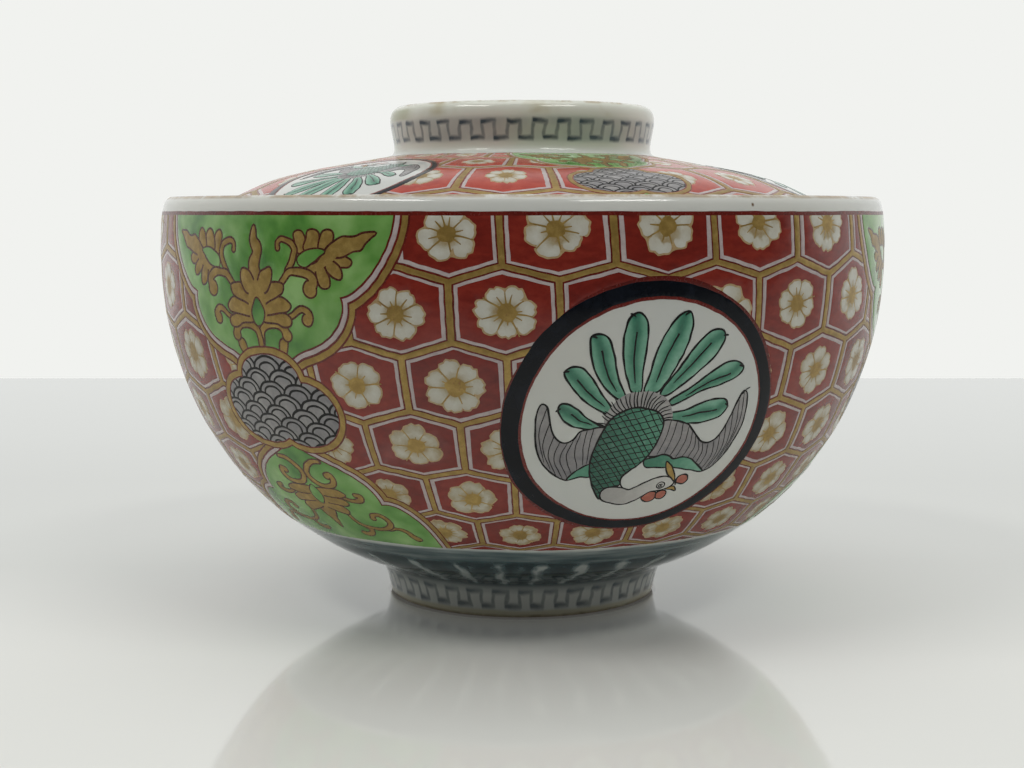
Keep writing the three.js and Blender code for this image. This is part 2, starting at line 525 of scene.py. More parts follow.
# ---- motifs -------------------------------------------------------------------------------------
def flower(rx, ry, rng, wash=0.0):
    """A flower: notched white petals over a thin gold-brown ground, a gold heart and rays. wash, 0 to 1, is how far the gold has run into the white."""
    tone = rng.uniform(0.25, 0.75)
    n = rng.choice((5, 6, 6, 6, 7))
    rot = rng.uniform(0, 2 * math.pi)
    ground, petals, rays = [], [], []
    for i in range(n):
        mid = rot + 2 * math.pi * (i + rng.uniform(-0.08, 0.08)) / n
        size = rng.uniform(0.86, 1.02)
        half = math.pi / n
        rim = [(-0.92, 0.79), (-0.70, 0.92), (-0.38, 0.995), (-0.14, 0.95), (0.10, 1.005), (0.38, 0.96), (0.70, 0.92), (0.92, 0.785)]
        rim = [(f + rng.uniform(-0.03, 0.03), q * size * (1 + rng.uniform(-0.03, 0.03))) for f, q in rim]
        core = [(0.88, 0.52), (0.78, 0.32), (0.0, 0.2), (-0.78, 0.32), (-0.88, 0.52)]
        at = lambda f, q: (rx * q * math.cos(mid + f * half), ry * q * math.sin(mid + f * half))
        ground += [at(f, q + 0.07 + 0.05 * (abs(f) > 0.8)) for f, q in rim]
        heart = np.array(at(0, 0.66))
        full = rng.uniform(0.95, 1.15) - 0.6 * wash
        petals.append(shape("white", loop([at(f, q) for f, q in rim + core], 7), (lambda v, c=heart, f=full: np.clip(f - np.hypot(*((v - c) / (rx, ry)).T) * 1.1, 0, 1)), step=14))
        if rng.random() < 0.8:
            rays.append((mid + rng.uniform(-0.12, 0.12), rng.uniform(0.46, 0.66), (5.4, 3.8, 2.2)))
        rays.append((mid + half, rng.uniform(0.62, 0.95), (5.6, 3.8, 2.6)))
    out = [shape("tan", loop(ground, 7), tone, step=26)] + petals
    for ray, reach, width in rays:
        line = np.array([(rx * q * math.cos(ray), ry * q * math.sin(ray)) for q in np.linspace(0.2, reach, 4)])
        out += [shape("gold", q, tone) for q in ribbon(line, width, rng)]
    big = 0.29 + 0.07 * wash
    halo = []
    for b in np.linspace(0, 2 * math.pi, 4 * n, endpoint=False):
        q = (rng.uniform(0.46, 0.52) if len(halo) % 2 else rng.uniform(0.54, 0.64)) + 0.08 * wash
        halo.append((rx * q * math.cos(b + rot), ry * q * math.sin(b + rot)))
    run = lambda v: np.clip((np.hypot(*(v / (rx, ry)).T) - big) / 0.3, 0.0, 1.0) * (0.78 - 0.3 * wash)
    out.insert(1 + len(petals), shape("white", loop(halo, 6), run, step=8))
    heart = [(rx * big * rng.uniform(0.86, 1.14) * math.cos(b), ry * (big + 0.03) * rng.uniform(0.86, 1.14) * math.sin(b)) for b in np.linspace(0, 2 * math.pi, 11, endpoint=False)]
    out.append(shape("gold", loop(heart, 10), tone, step=30))
    return out


def gold_leaf(p, tone=0.5, edge=4.8):
    p = ccw(p)
    return [shape("umber", grown(p, edge), 0.5), shape("gold", p, tone, step=26)]


def gold_stroke(points, width, rng, tone=0.5, edge=4.6, bulb=0.0):
    p = path(points, 6)
    wide = [w + 2 * edge for w in width]
    out = [shape("umber", q, 0.5) for q in ribbon(p, wide)]
    if bulb:
        out.append(shape("umber", disc(p[-1][0], p[-1][1], bulb + edge, n=18), 0.5))
    out.append(shape("umber", disc(p[0][0], p[0][1], width[0] / 2 + edge, n=12), 0.5))
    out += [shape("gold", q, tone) for q in ribbon(p, width)]
    if bulb:
        out.append(shape("gold", disc(p[-1][0], p[-1][1], bulb, n=18), tone))
    return out


def flip(pts):
    return [(-x, y) for x, y in pts]


def shaken(pts, rng, d=1.6):
    return [(x + rng.uniform(-d, d), y + rng.uniform(-d, d)) for x, y in pts]


def upper_palmette(rng):
    """Gold scrollwork of the upper lappet: a palmette with a flame above it and a half palmette curling out on each side."""
    out = []
    for side in (1, -1):
        m = (lambda q: flip(shaken(q, rng))) if side < 0 else (lambda q: shaken(q, rng))
        tone = 0.6 if side > 0 else 0.35
        # half palmette
        out += gold_leaf(loop(m([(150, 62), (180, 68), (202, 84), (224, 102), (250, 98), (240, 74), (214, 60), (192, 46)])), tone)
        for pts in (
            [(139, 97), (131, 124), (127, 140), (136, 148), (149, 145), (157, 131), (161, 107), (152, 98)],
            [(159, 104), (163, 131), (169, 148), (181, 152), (194, 144), (198, 127), (200, 108), (180, 102)],
            [(199, 106), (202, 131), (210, 146), (222, 152), (233, 146), (235, 131), (229, 112), (212, 102)],
            [(252, 98), (267, 94), (282, 80), (275, 71), (255, 70), (236, 78)],
            [(230, 80), (249, 69), (259, 52), (255, 42), (238, 47), (216, 66)],
            [(203, 74), (217, 56), (225, 37), (222, 21), (203, 24), (192, 54)],
            [(214, 98), (228, 116), (242, 127), (261, 136), (280, 133), (297, 136), (308, 143), (327, 146), (344, 146), (331, 135), (319, 122), (307, 109), (289, 106), (272, 98), (246, 92)],
        ):
            out += gold_leaf(loop(m(pts)), tone)
        out.append(shape("gold", loop(m([(172, 64), (192, 76), (214, 98), (236, 108), (250, 100), (236, 80), (212, 66), (190, 56)])), tone))
        eye = loop(m([(138, 86), (161, 101), (187, 108), (214, 104), (199, 90), (183, 77), (160, 67), (140, 70)]))
        out += [shape("umber", grown(eye, 4.2), 0.5), shape("green", eye, 0.3)]
        # its stems
        out += gold_stroke(m([(102, 52), (119, 74), (127, 92), (127, 106), (119, 118), (104, 125), (88, 126), (77, 118), (78, 107)]), [8, 12, 13, 12, 12, 10, 8, 9], rng, tone, bulb=5)
        out += gold_stroke(m([(72, 14), (90, 32), (108, 48), (130, 54), (154, 52), (173, 42), (180, 26), (170, 15)]), [10, 12, 13, 14, 17, 20, 24], rng, tone, bulb=18)
        # small curl
        out += gold_stroke(m([(92, -58), (114, -50), (130, -39), (146, -35), (160, -42), (163, -54), (156, -59)]), [9, 9, 10, 13, 16, 18], rng, tone, bulb=13)
        # volute at the root
        out += gold_leaf(loop(m([(66, -112), (82, -108), (84, -124), (74, -146), (60, -150)])), tone)
        out += gold_stroke(m([(2, -150), (3, -108), (10, -86), (26, -73), (48, -70), (70, -76), (84, -88), (88, -98)]), [13, 13, 14, 15, 16, 18, 22], rng, tone, bulb=13)
    # flame and palmette
    out += gold_leaf(loop(shaken([(-18, 36), (-22, 62), (-17, 82), (-5, 98), (-10, 112), (-15, 128), (-12, 146), (-4, 160), (2, 146), (4, 131), (16, 116), (21, 100), (15, 84), (12, 65), (14, 36)], rng, 1.0)), 0.5)
    for side in (1, -1):
        m = (lambda q: flip(shaken(q, rng))) if side < 0 else (lambda q: shaken(q, rng))
        for pts in (
            [(16, -54), (49, -45), (74, -45), (93, -50), (107, -60), (103, -72), (80, -76), (60, -68), (16, -64)],
            [(16, -26), (46, -14), (68, -9), (87, -9), (100, -16), (108, -27), (99, -38), (80, -43), (16, -46)],
            [(8, -6), (38, 17), (55, 25), (75, 26), (90, 20), (86, 5), (71, -6), (44, -14), (16, -26)],
            [(2, 6), (10, 34), (18, 48), (31, 56), (47, 59), (52, 48), (49, 26), (30, 4)],
        ):
            out += gold_leaf(loop(m(pts)), 0.55)
    out.append(shape("gold", loop([(-26, 4), (-14, 22), (0, 36), (14, 22), (26, 4), (30, -20), (28, -56), (0, -66), (-28, -56), (-30, -20)]), 0.55))
    eye = loop(shaken([(0, -9), (14, -26), (20, -47), (13, -66), (0, -75), (-13, -66), (-20, -47), (-14, -26)], rng, 1.0))
    out += [shape("umber", grown(eye, 4.4), 0.5), shape("green", eye, 0.3)]
    return out


def lower_palmette(rng):
    """Gold scrollwork of the lower lappet: two volutes, a hanging palmette and scrolling stems."""
    out = []
    for side in (1, -1):
        m = (lambda q: flip(shaken(q, rng))) if side < 0 else (lambda q: shaken(q, rng))
        tone = 0.5 if side > 0 else 0.3
        out += gold_stroke(m([(216, -138), (246, -128), (270, -130), (288, -144), (300, -166), (316, -184)]), [9, 11, 13, 18, 24], rng, tone, bulb=12)
        out += gold_stroke(m([(120, -134), (140, -152), (130, -174), (108, -184), (92, -180)]), [9, 13, 18, 24, 22], rng, tone, bulb=10)
        out += gold_stroke(m([(82, -50), (90, -92), (106, -122), (140, -138), (190, -138), (224, -124), (238, -98), (230, -70), (208, -56), (186, -62), (180, -78)]), [11, 11, 12, 12, 15, 18, 15, 14, 14], rng, tone, bulb=9)
        out += gold_stroke(m([(100, 16), (130, 4), (154, 4), (174, 12), (178, 26), (164, 30)]), [9, 9, 12, 17, 18, 12], rng, tone, bulb=7)
    out += gold_leaf(loop(shaken([(-24, -30), (24, -30), (32, -60), (16, -100), (0, -160), (-13, -110), (-30, -70)], rng)), 0.45)
    for side in (1, -1):
        m = (lambda q: flip(shaken(q, rng))) if side < 0 else (lambda q: shaken(q, rng))
        for pts in (
            [(6, -18), (46, -25), (84, -36), (97, -54), (84, -72), (50, -64), (10, -44)],
            [(14, 8), (62, 6), (100, 0), (117, -12), (110, -26), (76, -27), (14, -14)],
            [(14, 36), (60, 40), (98, 40), (121, 24), (102, 11), (70, 8), (18, 14)],
        ):
            out += gold_leaf(loop(m(pts)), 0.5)
        out += gold_stroke(m([(84, 146), (52, 142), (27, 125), (12, 100), (14, 75), (36, 56), (70, 53), (96, 64), (107, 86), (98, 102), (86, 96)]), [9, 12, 14, 15, 15, 14, 14, 15, 16, 17], rng, 0.6, bulb=10)
    out.append(shape("gold", loop([(-20, 30), (20, 30), (30, 0), (24, -34), (0, -50), (-24, -34), (-30, 0)]), 0.5))
    eye = loop(shaken([(0, 48), (16, 30), (21, 8), (12, -18), (0, -30), (-12, -18), (-21, 8), (-16, 30)], rng, 1.0))
    out += [shape("umber", grown(eye, 4.4), 0.5), shape("green", eye, 0.3)]
    return out


UPPER_SIDE = [
    # from the root of the lappet up its right side; the two lobes meet in a notch
    [(52, -172), (90, -154), (122, -138), (155, -126), (190, -110), (220, -88), (241, -62), (253, -34), (254, -12), (250, 0)],
    [(250, 0), (276, 8), (302, 26), (328, 52), (352, 86), (370, 120), (381, 155), (385, 190), (386, 235)],
]
LOWER_SIDE = [
    # from the foot of the lappet up its right side
    [(390, -300), (389, -245), (383, -195), (371, -140), (352, -90), (326, -48), (296, -18), (268, -5), (240, -6)],
    [(240, -6), (237, 20), (226, 50), (205, 80), (175, 106), (140, 127), (100, 147), (60, 165), (28, 182), (0, 196)],
]
CLOUD = [
    # three lobes: right, top, left
    [(6, -104), (35, -118), (72, -123), (116, -116), (160, -95), (188, -62), (198, -24), (190, 12), (166, 42), (132, 59), (104, 63)],
    [(104, 63), (90, 98), (52, 123), (0, 131), (-52, 123), (-92, 98), (-108, 63)],
    [(-108, 63), (-134, 59), (-168, 42), (-192, 12), (-200, -24), (-190, -62), (-162, -95), (-116, -117), (-64, -124), (-24, -118), (6, -104)],
]
BORDER = (5.0, 16.0, 21.5, 35.5, 40.5)  # outer edges of: line, lavender, line, gold, line
CLOUD_BORDER = (4.5, 19.5, 24.0)  # line, gold, line


def side_arcs(side, sx=1.0, sy=1.0):
    right = [path(np.array(a) * (sx, sy), 9) for a in side]
    return right


def closed_arcs(side, sx, sy, top):
    """Right side arcs, then the closing run, then the left side, counter-clockwise."""
    right = side_arcs(side, sx, sy)
    left = mirrored(right)
    a, b = right[-1][-1], left[0][0]
    if np.hypot(*(a - b)) > 1:
        bridge = [np.linspace(a, b, 40)]
    else:
        bridge = []
    c, d = left[-1][-1], right[0][0]
    floor = [np.linspace(c, d, 30)] if np.hypot(*(c - d)) > 1 else []
    return right + bridge + left + floor


def lappet_outlines(sx, sy):
    """Outlines of the upper lappet from the green out to its last line."""
    arcs = closed_arcs(UPPER_SIDE, sx, sy, True)
    return [outline(arcs, d) for d in (0.0,) + BORDER]


def lower_outlines(sx, sy):
    arcs = closed_arcs(LOWER_SIDE, sx, sy, False)
    return [outline(arcs, d) for d in (0.0,) + BORDER]


def cloud_outlines():
    arcs = [path(a, 8) for a in CLOUD]
    return [outline(arcs, d) for d in (0.0,) + CLOUD_BORDER]


def arch(cx, cy, rx, ry, foot):
    a = np.linspace(0, math.pi, 14)
    return np.vstack([np.column_stack([cx + rx * np.cos(a), cy + ry * np.sin(a)]), [(cx - rx, cy - foot), (cx + rx, cy - foot)]])


def waves(within, rng):
    """Overlapping round waves, row in front of row."""
    out = []
    for k, y in enumerate(np.arange(134, -160, -33.0)):
        for x in np.arange(-294, 255, 89.0):
            cx = x + (44.5 if k % 2 else 0.0) + 25.0 + rng.uniform(-4, 4)
            cy = y - 41 - 0.05 * cx + rng.uniform(-2.5, 2.5)
            rx, ry = 47.5 + rng.uniform(-2.5, 2.5), 36 + rng.uniform(-2, 2)
            tone = rng.uniform(0.1, 0.55)
            ix, iy = rx * rng.uniform(0.58, 0.66), ry * rng.uniform(0.54, 0.64)
            for ax, ay, colour in ((rx, ry, "black"), (rx - 6.6, ry - 6.6, "grey"), (ix, iy, "black"), (ix - 5.8, iy - 5.8, "grey")):
                out.append(shape(colour, arch(cx, cy, ax, ay, 30), tone, within, 0))
    return out


def stroke(points, width, rng, colour="black", tone=0.5, ends=(0.6, 0.3), step=6.0, within=None, closed=False):
    p = (loop if closed else path)(points, step)
    return [shape(colour, q, tone, within) for q in ribbon(p, width, rng, closed=closed, ends=ends)]


def filled(colour, points, rng, width=5.0, tone=0.5, step=20, within=None):
    """A shape of one colour inside a brushed black outline."""
    p = loop(points, 5)
    return [shape(colour, p, tone, within, step)] + [shape("black", q, 0.5, within) for q in ribbon(p, width, rng, closed=True, rough=0.25)]


FEATHERS = [
    # outline from the root round the tip and back, and the midrib
    ([(-116, 13), (-150, 33), (-186, 64), (-210, 80), (-228, 79), (-233, 62), (-222, 40), (-200, 21), (-168, 10), (-138, 9)], [(-200, 52), (-176, 33), (-146, 20)]),
    ([(-98, 58), (-125, 100), (-155, 148), (-178, 171), (-204, 173), (-222, 160), (-215, 140), (-190, 108), (-158, 78), (-106, 50)], [(-190, 142), (-158, 106), (-118, 70)]),
    ([(-70, 92), (-90, 142), (-104, 200), (-116, 235), (-136, 250), (-160, 243), (-162, 214), (-150, 168), (-122, 120), (-82, 86)], [(-135, 211), (-118, 155), (-92, 108)]),
    ([(-34, 103), (-31, 160), (-27, 230), (-31, 276), (-48, 297), (-69, 290), (-82, 250), (-79, 182), (-64, 130), (-52, 103)], [(-54, 252), (-56, 190), (-48, 128)]),
    ([(-22, 104), (-14, 150), (-2, 200), (22, 256), (50, 291), (74, 297), (84, 278), (76, 230), (52, 168), (12, 104)], [(49, 246), (24, 192), (4, 128)]),
    ([(18, 98), (58, 160), (100, 220), (138, 251), (166, 252), (172, 233), (152, 190), (112, 150), (70, 118), (34, 92)], [(136, 222), (94, 174), (48, 124)]),
    ([(46, 76), (100, 112), (150, 150), (190, 172), (220, 175), (242, 157), (230, 138), (190, 119), (140, 104), (90, 82), (52, 66)], [(206, 143), (150, 124), (86, 90)]),
    ([(48, 42), (90, 51), (140, 71), (180, 78), (208, 75), (219, 55), (205, 30), (170, 17), (120, 15), (70, 22), (48, 30)], [(188, 48), (140, 42), (88, 34)]),
]
RIGHT_WING = [(36, 24), (76, 23), (110, 12), (140, -16), (164, -40), (186, -49), (208, -42), (226, -14), (238, 28), (248, 66), (262, 94), (274, 86), (283, 40), (285, -2), (275, -50), (255, -100), (230, -135), (204, -148), (176, -138), (146, -112), (118, -96), (92, -90), (60, -76), (16, -78)]
LEFT_WING = [(-112, 9), (-150, 10), (-175, 0), (-194, -24), (-214, -31), (-235, -16), (-247, 14), (-254, 50), (-262, 76), (-274, 81), (-284, 55), (-288, 0), (-283, -50), (-266, -95), (-240, -130), (-216, -152), (-198, -158), (-184, -138), (-168, -116), (-150, -104), (-130, -98)]
BODY = [(40, 22), (37, -20), (16, -74), (-6, -104), (-30, -130), (-47, -154), (-48, -178), (-62, -186), (-84, -190), (-97, -206), (-98, -234), (-116, -208), (-137, -152), (-143, -100), (-135, -48), (-118, 2), (-100, 36), (-70, 57), (-35, 65), (0, 58), (28, 44)]
NECK = [(-97, -206), (-84, -191), (-58, -187), (-34, -190), (-14, -198), (4, -188), (30, -170), (60, -157), (88, -152), (112, -162), (126, -178), (118, -192), (100, -201), (76, -206), (56, -209), (34, -226), (10, -246), (-18, -257), (-58, -252), (-92, -236)]


def bird(rng):
    """A phoenix with its tail spread, head down, inside a roundel."""
    out = []
    for pts, rib in FEATHERS:
        spine = path([tuple(np.mean([pts[0], pts[-1]], axis=0)), rib[2], rib[1], rib[0], tuple(np.mean([pts[len(pts) // 2 - 1], pts[len(pts) // 2]], axis=0))], 8)

        def shade(v, spine=spine):
            d = np.min(np.hypot(v[:, None, 0] - spine[None, :, 0], v[:, None, 1] - spine[None, :, 1]), axis=1)
            along = np.argmin(np.hypot(v[:, None, 0] - spine[None, :, 0], v[:, None, 1] - spine[None, :, 1]), axis=1) / len(spine)
            return 0.95 - 0.74 * np.exp(-(d / 14.0) ** 2) * np.clip(0.5 + along, 0, 1)

        out += filled("teal", shaken(pts, rng, 1.2), rng, 4.9, shade, 8)
        out += stroke(rib, 4.2, rng, ends=(1.1, 0.4))
        # the brush sets down at the tip
        tip = np.mean([pts[len(pts) // 2 - 1], pts[len(pts) // 2]], axis=0)
        way = tip / np.hypot(*tip)
        across = np.array((-way[1], way[0])) * (1 if tip[0] < 20 else -1)
        out += stroke([tip + way * 5 + across * 13, tip + way * 1 + across * 7, tip - way * 5 + across * 1], 5.0, rng, ends=(0.5, 0.3), step=4)
    # short grey feathers at the root of the tail
    fan = [(62, 20), (58, 52), (40, 82), (10, 101), (-30, 106), (-72, 98), (-100, 72), (-116, 40), (-112, 10)]
    out.append(shape("grey", loop(fan + [(-90, -10), (-30, 0), (40, -10)], 6), 0.75, step=22))
    c = np.array((-32, 6))
    for q in np.linspace(-0.16, 3.25, 30):
        d = np.array((math.cos(q), math.sin(q)))
        bend = np.array((-d[1], d[0])) * rng.uniform(2, 6)
        out += stroke([c + d * (56, 54), c + d * (78, 79) + bend, c + d * (101, 102) + (rng.uniform(-3, 3), rng.uniform(-5, 4))], 3.2, rng, ends=(0.9, 0.4))
    # wings
    for wing, root, tip, n in ((RIGHT_WING, ((40, 10), (150, -100)), ((262, 84), (200, -146)), 15), (LEFT_WING, ((-128, 4), (-146, -100)), ((-272, 70), (-202, -156)), 9)):
        at = len(out)
        out += filled("grey", shaken(wing, rng, 1.0), rng, 4.9, lambda v: np.clip(0.5 + v[:, 1] / 260.0, 0.1, 1.0), 18)
        sign = 1 if wing is RIGHT_WING else -1
        if sign > 0:
            ribs = [[(60, 24), (56, -20), (44, -74)], [(80, 24), (76, -24), (62, -76)], [(98, 18), (98, -30), (82, -86)], [(116, 8), (116, -36), (100, -92)],
                    [(132, -8), (134, -50), (116, -96)], [(146, -22), (150, -62), (134, -106)], [(160, -36), (166, -72), (150, -116)], [(174, -46), (182, -82), (166, -130)],
                    [(190, -50), (198, -92), (182, -140)], [(206, -44), (214, -92), (198, -146)], [(220, -26), (228, -86), (212, -144)], [(232, 4), (240, -70), (222, -138)],
                    [(242, 40), (252, -50), (232, -132)], [(252, 70), (264, -20), (244, -116)], [(262, 92), (275, 10), (258, -92)]]
        else:
            ribs = [[(-142, 8), (-150, -40), (-150, -100)], [(-156, 6), (-166, -44), (-162, -108)], [(-172, -2), (-184, -56), (-176, -122)], [(-190, -22), (-204, -72), (-188, -138)],
                    [(-206, -32), (-220, -80), (-198, -150)], [(-224, -26), (-238, -80), (-212, -152)], [(-240, -6), (-254, -66), (-228, -140)], [(-250, 28), (-266, -40), (-244, -120)], [(-262, 70), (-276, 0), (-262, -90)]]
        for r in ribs:
            out += stroke(shaken(r, rng, 2.0), 2.4, rng, ends=(0.8, 0.5), within=at, step=9)
    out += stroke([(258, 84), (268, 98), (279, 103)], 3.5, rng, ends=(1, 0.4))
    # teal leading edges
    out += filled("teal", [(14, -112), (8, -92), (36, -82), (60, -74), (80, -80), (96, -91), (124, -87), (152, -97), (178, -118), (206, -147), (172, -140), (132, -128), (92, -120), (50, -117)], rng, 5.0, lambda v: np.clip(0.25 + (v[:, 0] - 20) / 300, 0, 0.9), 14)
    out += filled("teal", [(-200, -157), (-186, -132), (-166, -115), (-150, -104), (-132, -102), (-138, -146), (-166, -147)], rng, 5.0, 0.6, 14)
    # body under a net of scales
    at = len(out)
    out += filled("teal", shaken(BODY, rng, 1.0), rng, 5.0, lambda v: np.clip(0.1 + (v[:, 0] + 120) / 380 + v[:, 1] / 900, 0.0, 0.62), 16)
    for k in np.arange(-300, 130, 17.5):
        a = np.array([(-170, k - 36), (-100, k - 14), (-40, k + 2), (60, k + 24)])
        out += stroke(shaken(a, rng, 2.0), 2.7, rng, within=at, step=22)
    for k in np.arange(-330, 150, 20.0):
        b = np.array([(k - 52, 80), (k - 14, 20), (k + 34, -50), (k + 92, -130), (k + 170, -240)])
        out += stroke(shaken(b, rng, 2.0), 2.7, rng, within=at, step=22)
    # head and neck
    out += stroke([(-10, -113), (-32, -130), (-47, -150), (-46, -172), (-34, -190), (-14, -198)], 5.2, rng)
    out += filled("pale", shaken(NECK, rng, 0.8), rng, 4.6, lambda v: np.clip(0.2 + (v[:, 0] + 100) / 260, 0.1, 0.95), 16)
    out += stroke([(-98, -206), (-99, -222), (-94, -238)], 5.0, rng)
    out += filled("coral", [(132, -160), (148, -152), (164, -158), (168, -174), (158, -188), (144, -184), (132, -178)], rng, 4.6, 0.5, 14)
    out += filled("coral", [(40, -222), (54, -210), (74, -210), (82, -224), (76, -242), (58, -250), (42, -244), (34, -232)], rng, 4.6, 0.4, 14)
    out += filled("coral", [(80, -214), (96, -206), (110, -212), (112, -228), (102, -240), (86, -238), (80, -228)], rng, 4.6, 0.6, 14)
    out += filled("gold", [(104, -201), (120, -194), (132, -196), (140, -212), (124, -207)], rng, 4.0, 0.8, 0)
    out += filled("gold", [(78, -98), (94, -110), (112, -136), (122, -158), (126, -174), (112, -162), (96, -146), (84, -124)], rng, 4.4, 0.7, 0)
    out += stroke([(124, -164), (130, -176), (134, -192)], 4.4, rng)
    out += stroke([tuple(q) for q in disc(85, -185, 12, n=10)], 3.6, rng, closed=True)
    out += stroke([(92, -190), (82, -192), (80, -184), (88, -181), (91, -186)], 3.4, rng, step=4)
    out.append(shape("black", disc(86, -186, 3.2, n=10), 0.5))
    return out


def ring_outline(radius, rng, rough=0.008, n=150):
    a = np.linspace(0, 2 * math.pi, n, endpoint=False)
    k = 1 + sum(rough * rng.uniform(0.3, 1) * np.sin(m * a + rng.uniform(0, 6.3)) / math.sqrt(m) for m in (2, 3, 5, 9, 17))
    return np.column_stack([radius * k * np.cos(a), radius * 1.012 * k * np.sin(a)])


# ---- layout ---------------------------------------------------------------------------------------
def turn_to(x):
    return (x + math.pi) % (2 * math.pi) - math.pi


class Cells:
    """A net of six-sided cells round the turn, every second row half a cell along."""

    def __init__(self, count, th0, w0, side, slant, seed):
        self.pitch = 2000 * math.pi / count
        self.count, self.th0, self.w0, self.side, self.slant, self.seed = count, th0, w0, side, slant, seed

    def node(self, ix, level, y):
        """A corner of the net, the same for each cell that meets there."""
        rng = random.Random(self.seed * 7919 + (ix % (2 * self.count)) * 613 + level * 31)
        return np.array([ix * self.pitch / 2 + rng.uniform(-4.5, 4.5), y + rng.uniform(-3.6, 3.6)])

    def cell(self, row, col, warp):
        """Centre (angle, w) and the corners round it. warp gives the shift of the net at an angle and w."""
        ix = 2 * col + (row % 2)
        y = -row * (self.side + self.slant)
        hs, lv = self.side / 2, row * 2
        corners = [
            self.node(ix, lv - 1, y + hs + self.slant), self.node(ix - 1, lv, y + hs), self.node(ix - 1, lv + 1, y - hs),
            self.node(ix, lv + 2, y - hs - self.slant), self.node(ix + 1, lv + 1, y - hs), self.node(ix + 1, lv, y + hs),
        ]
        mid = np.array([ix * self.pitch / 2, y])
        moved = [c + warp(self.th0 + c[0] / 1000, self.w0 - c[1] / 1000) for c in corners + [mid]]
        mid = moved.pop()
        return self.th0 + mid[0] / 1000, self.w0 - mid[1] / 1000, [c - mid for c in moved]


def band(y0, y1, half=900.0):
    return np.vstack([dense([(-half, y0), (half, y0)], 7.0)[:int(math.ceil(2 * half / 7.0)) + 1], dense([(half, y1), (-half, y1)], 7.0)[:int(math.ceil(2 * half / 7.0)) + 1]])


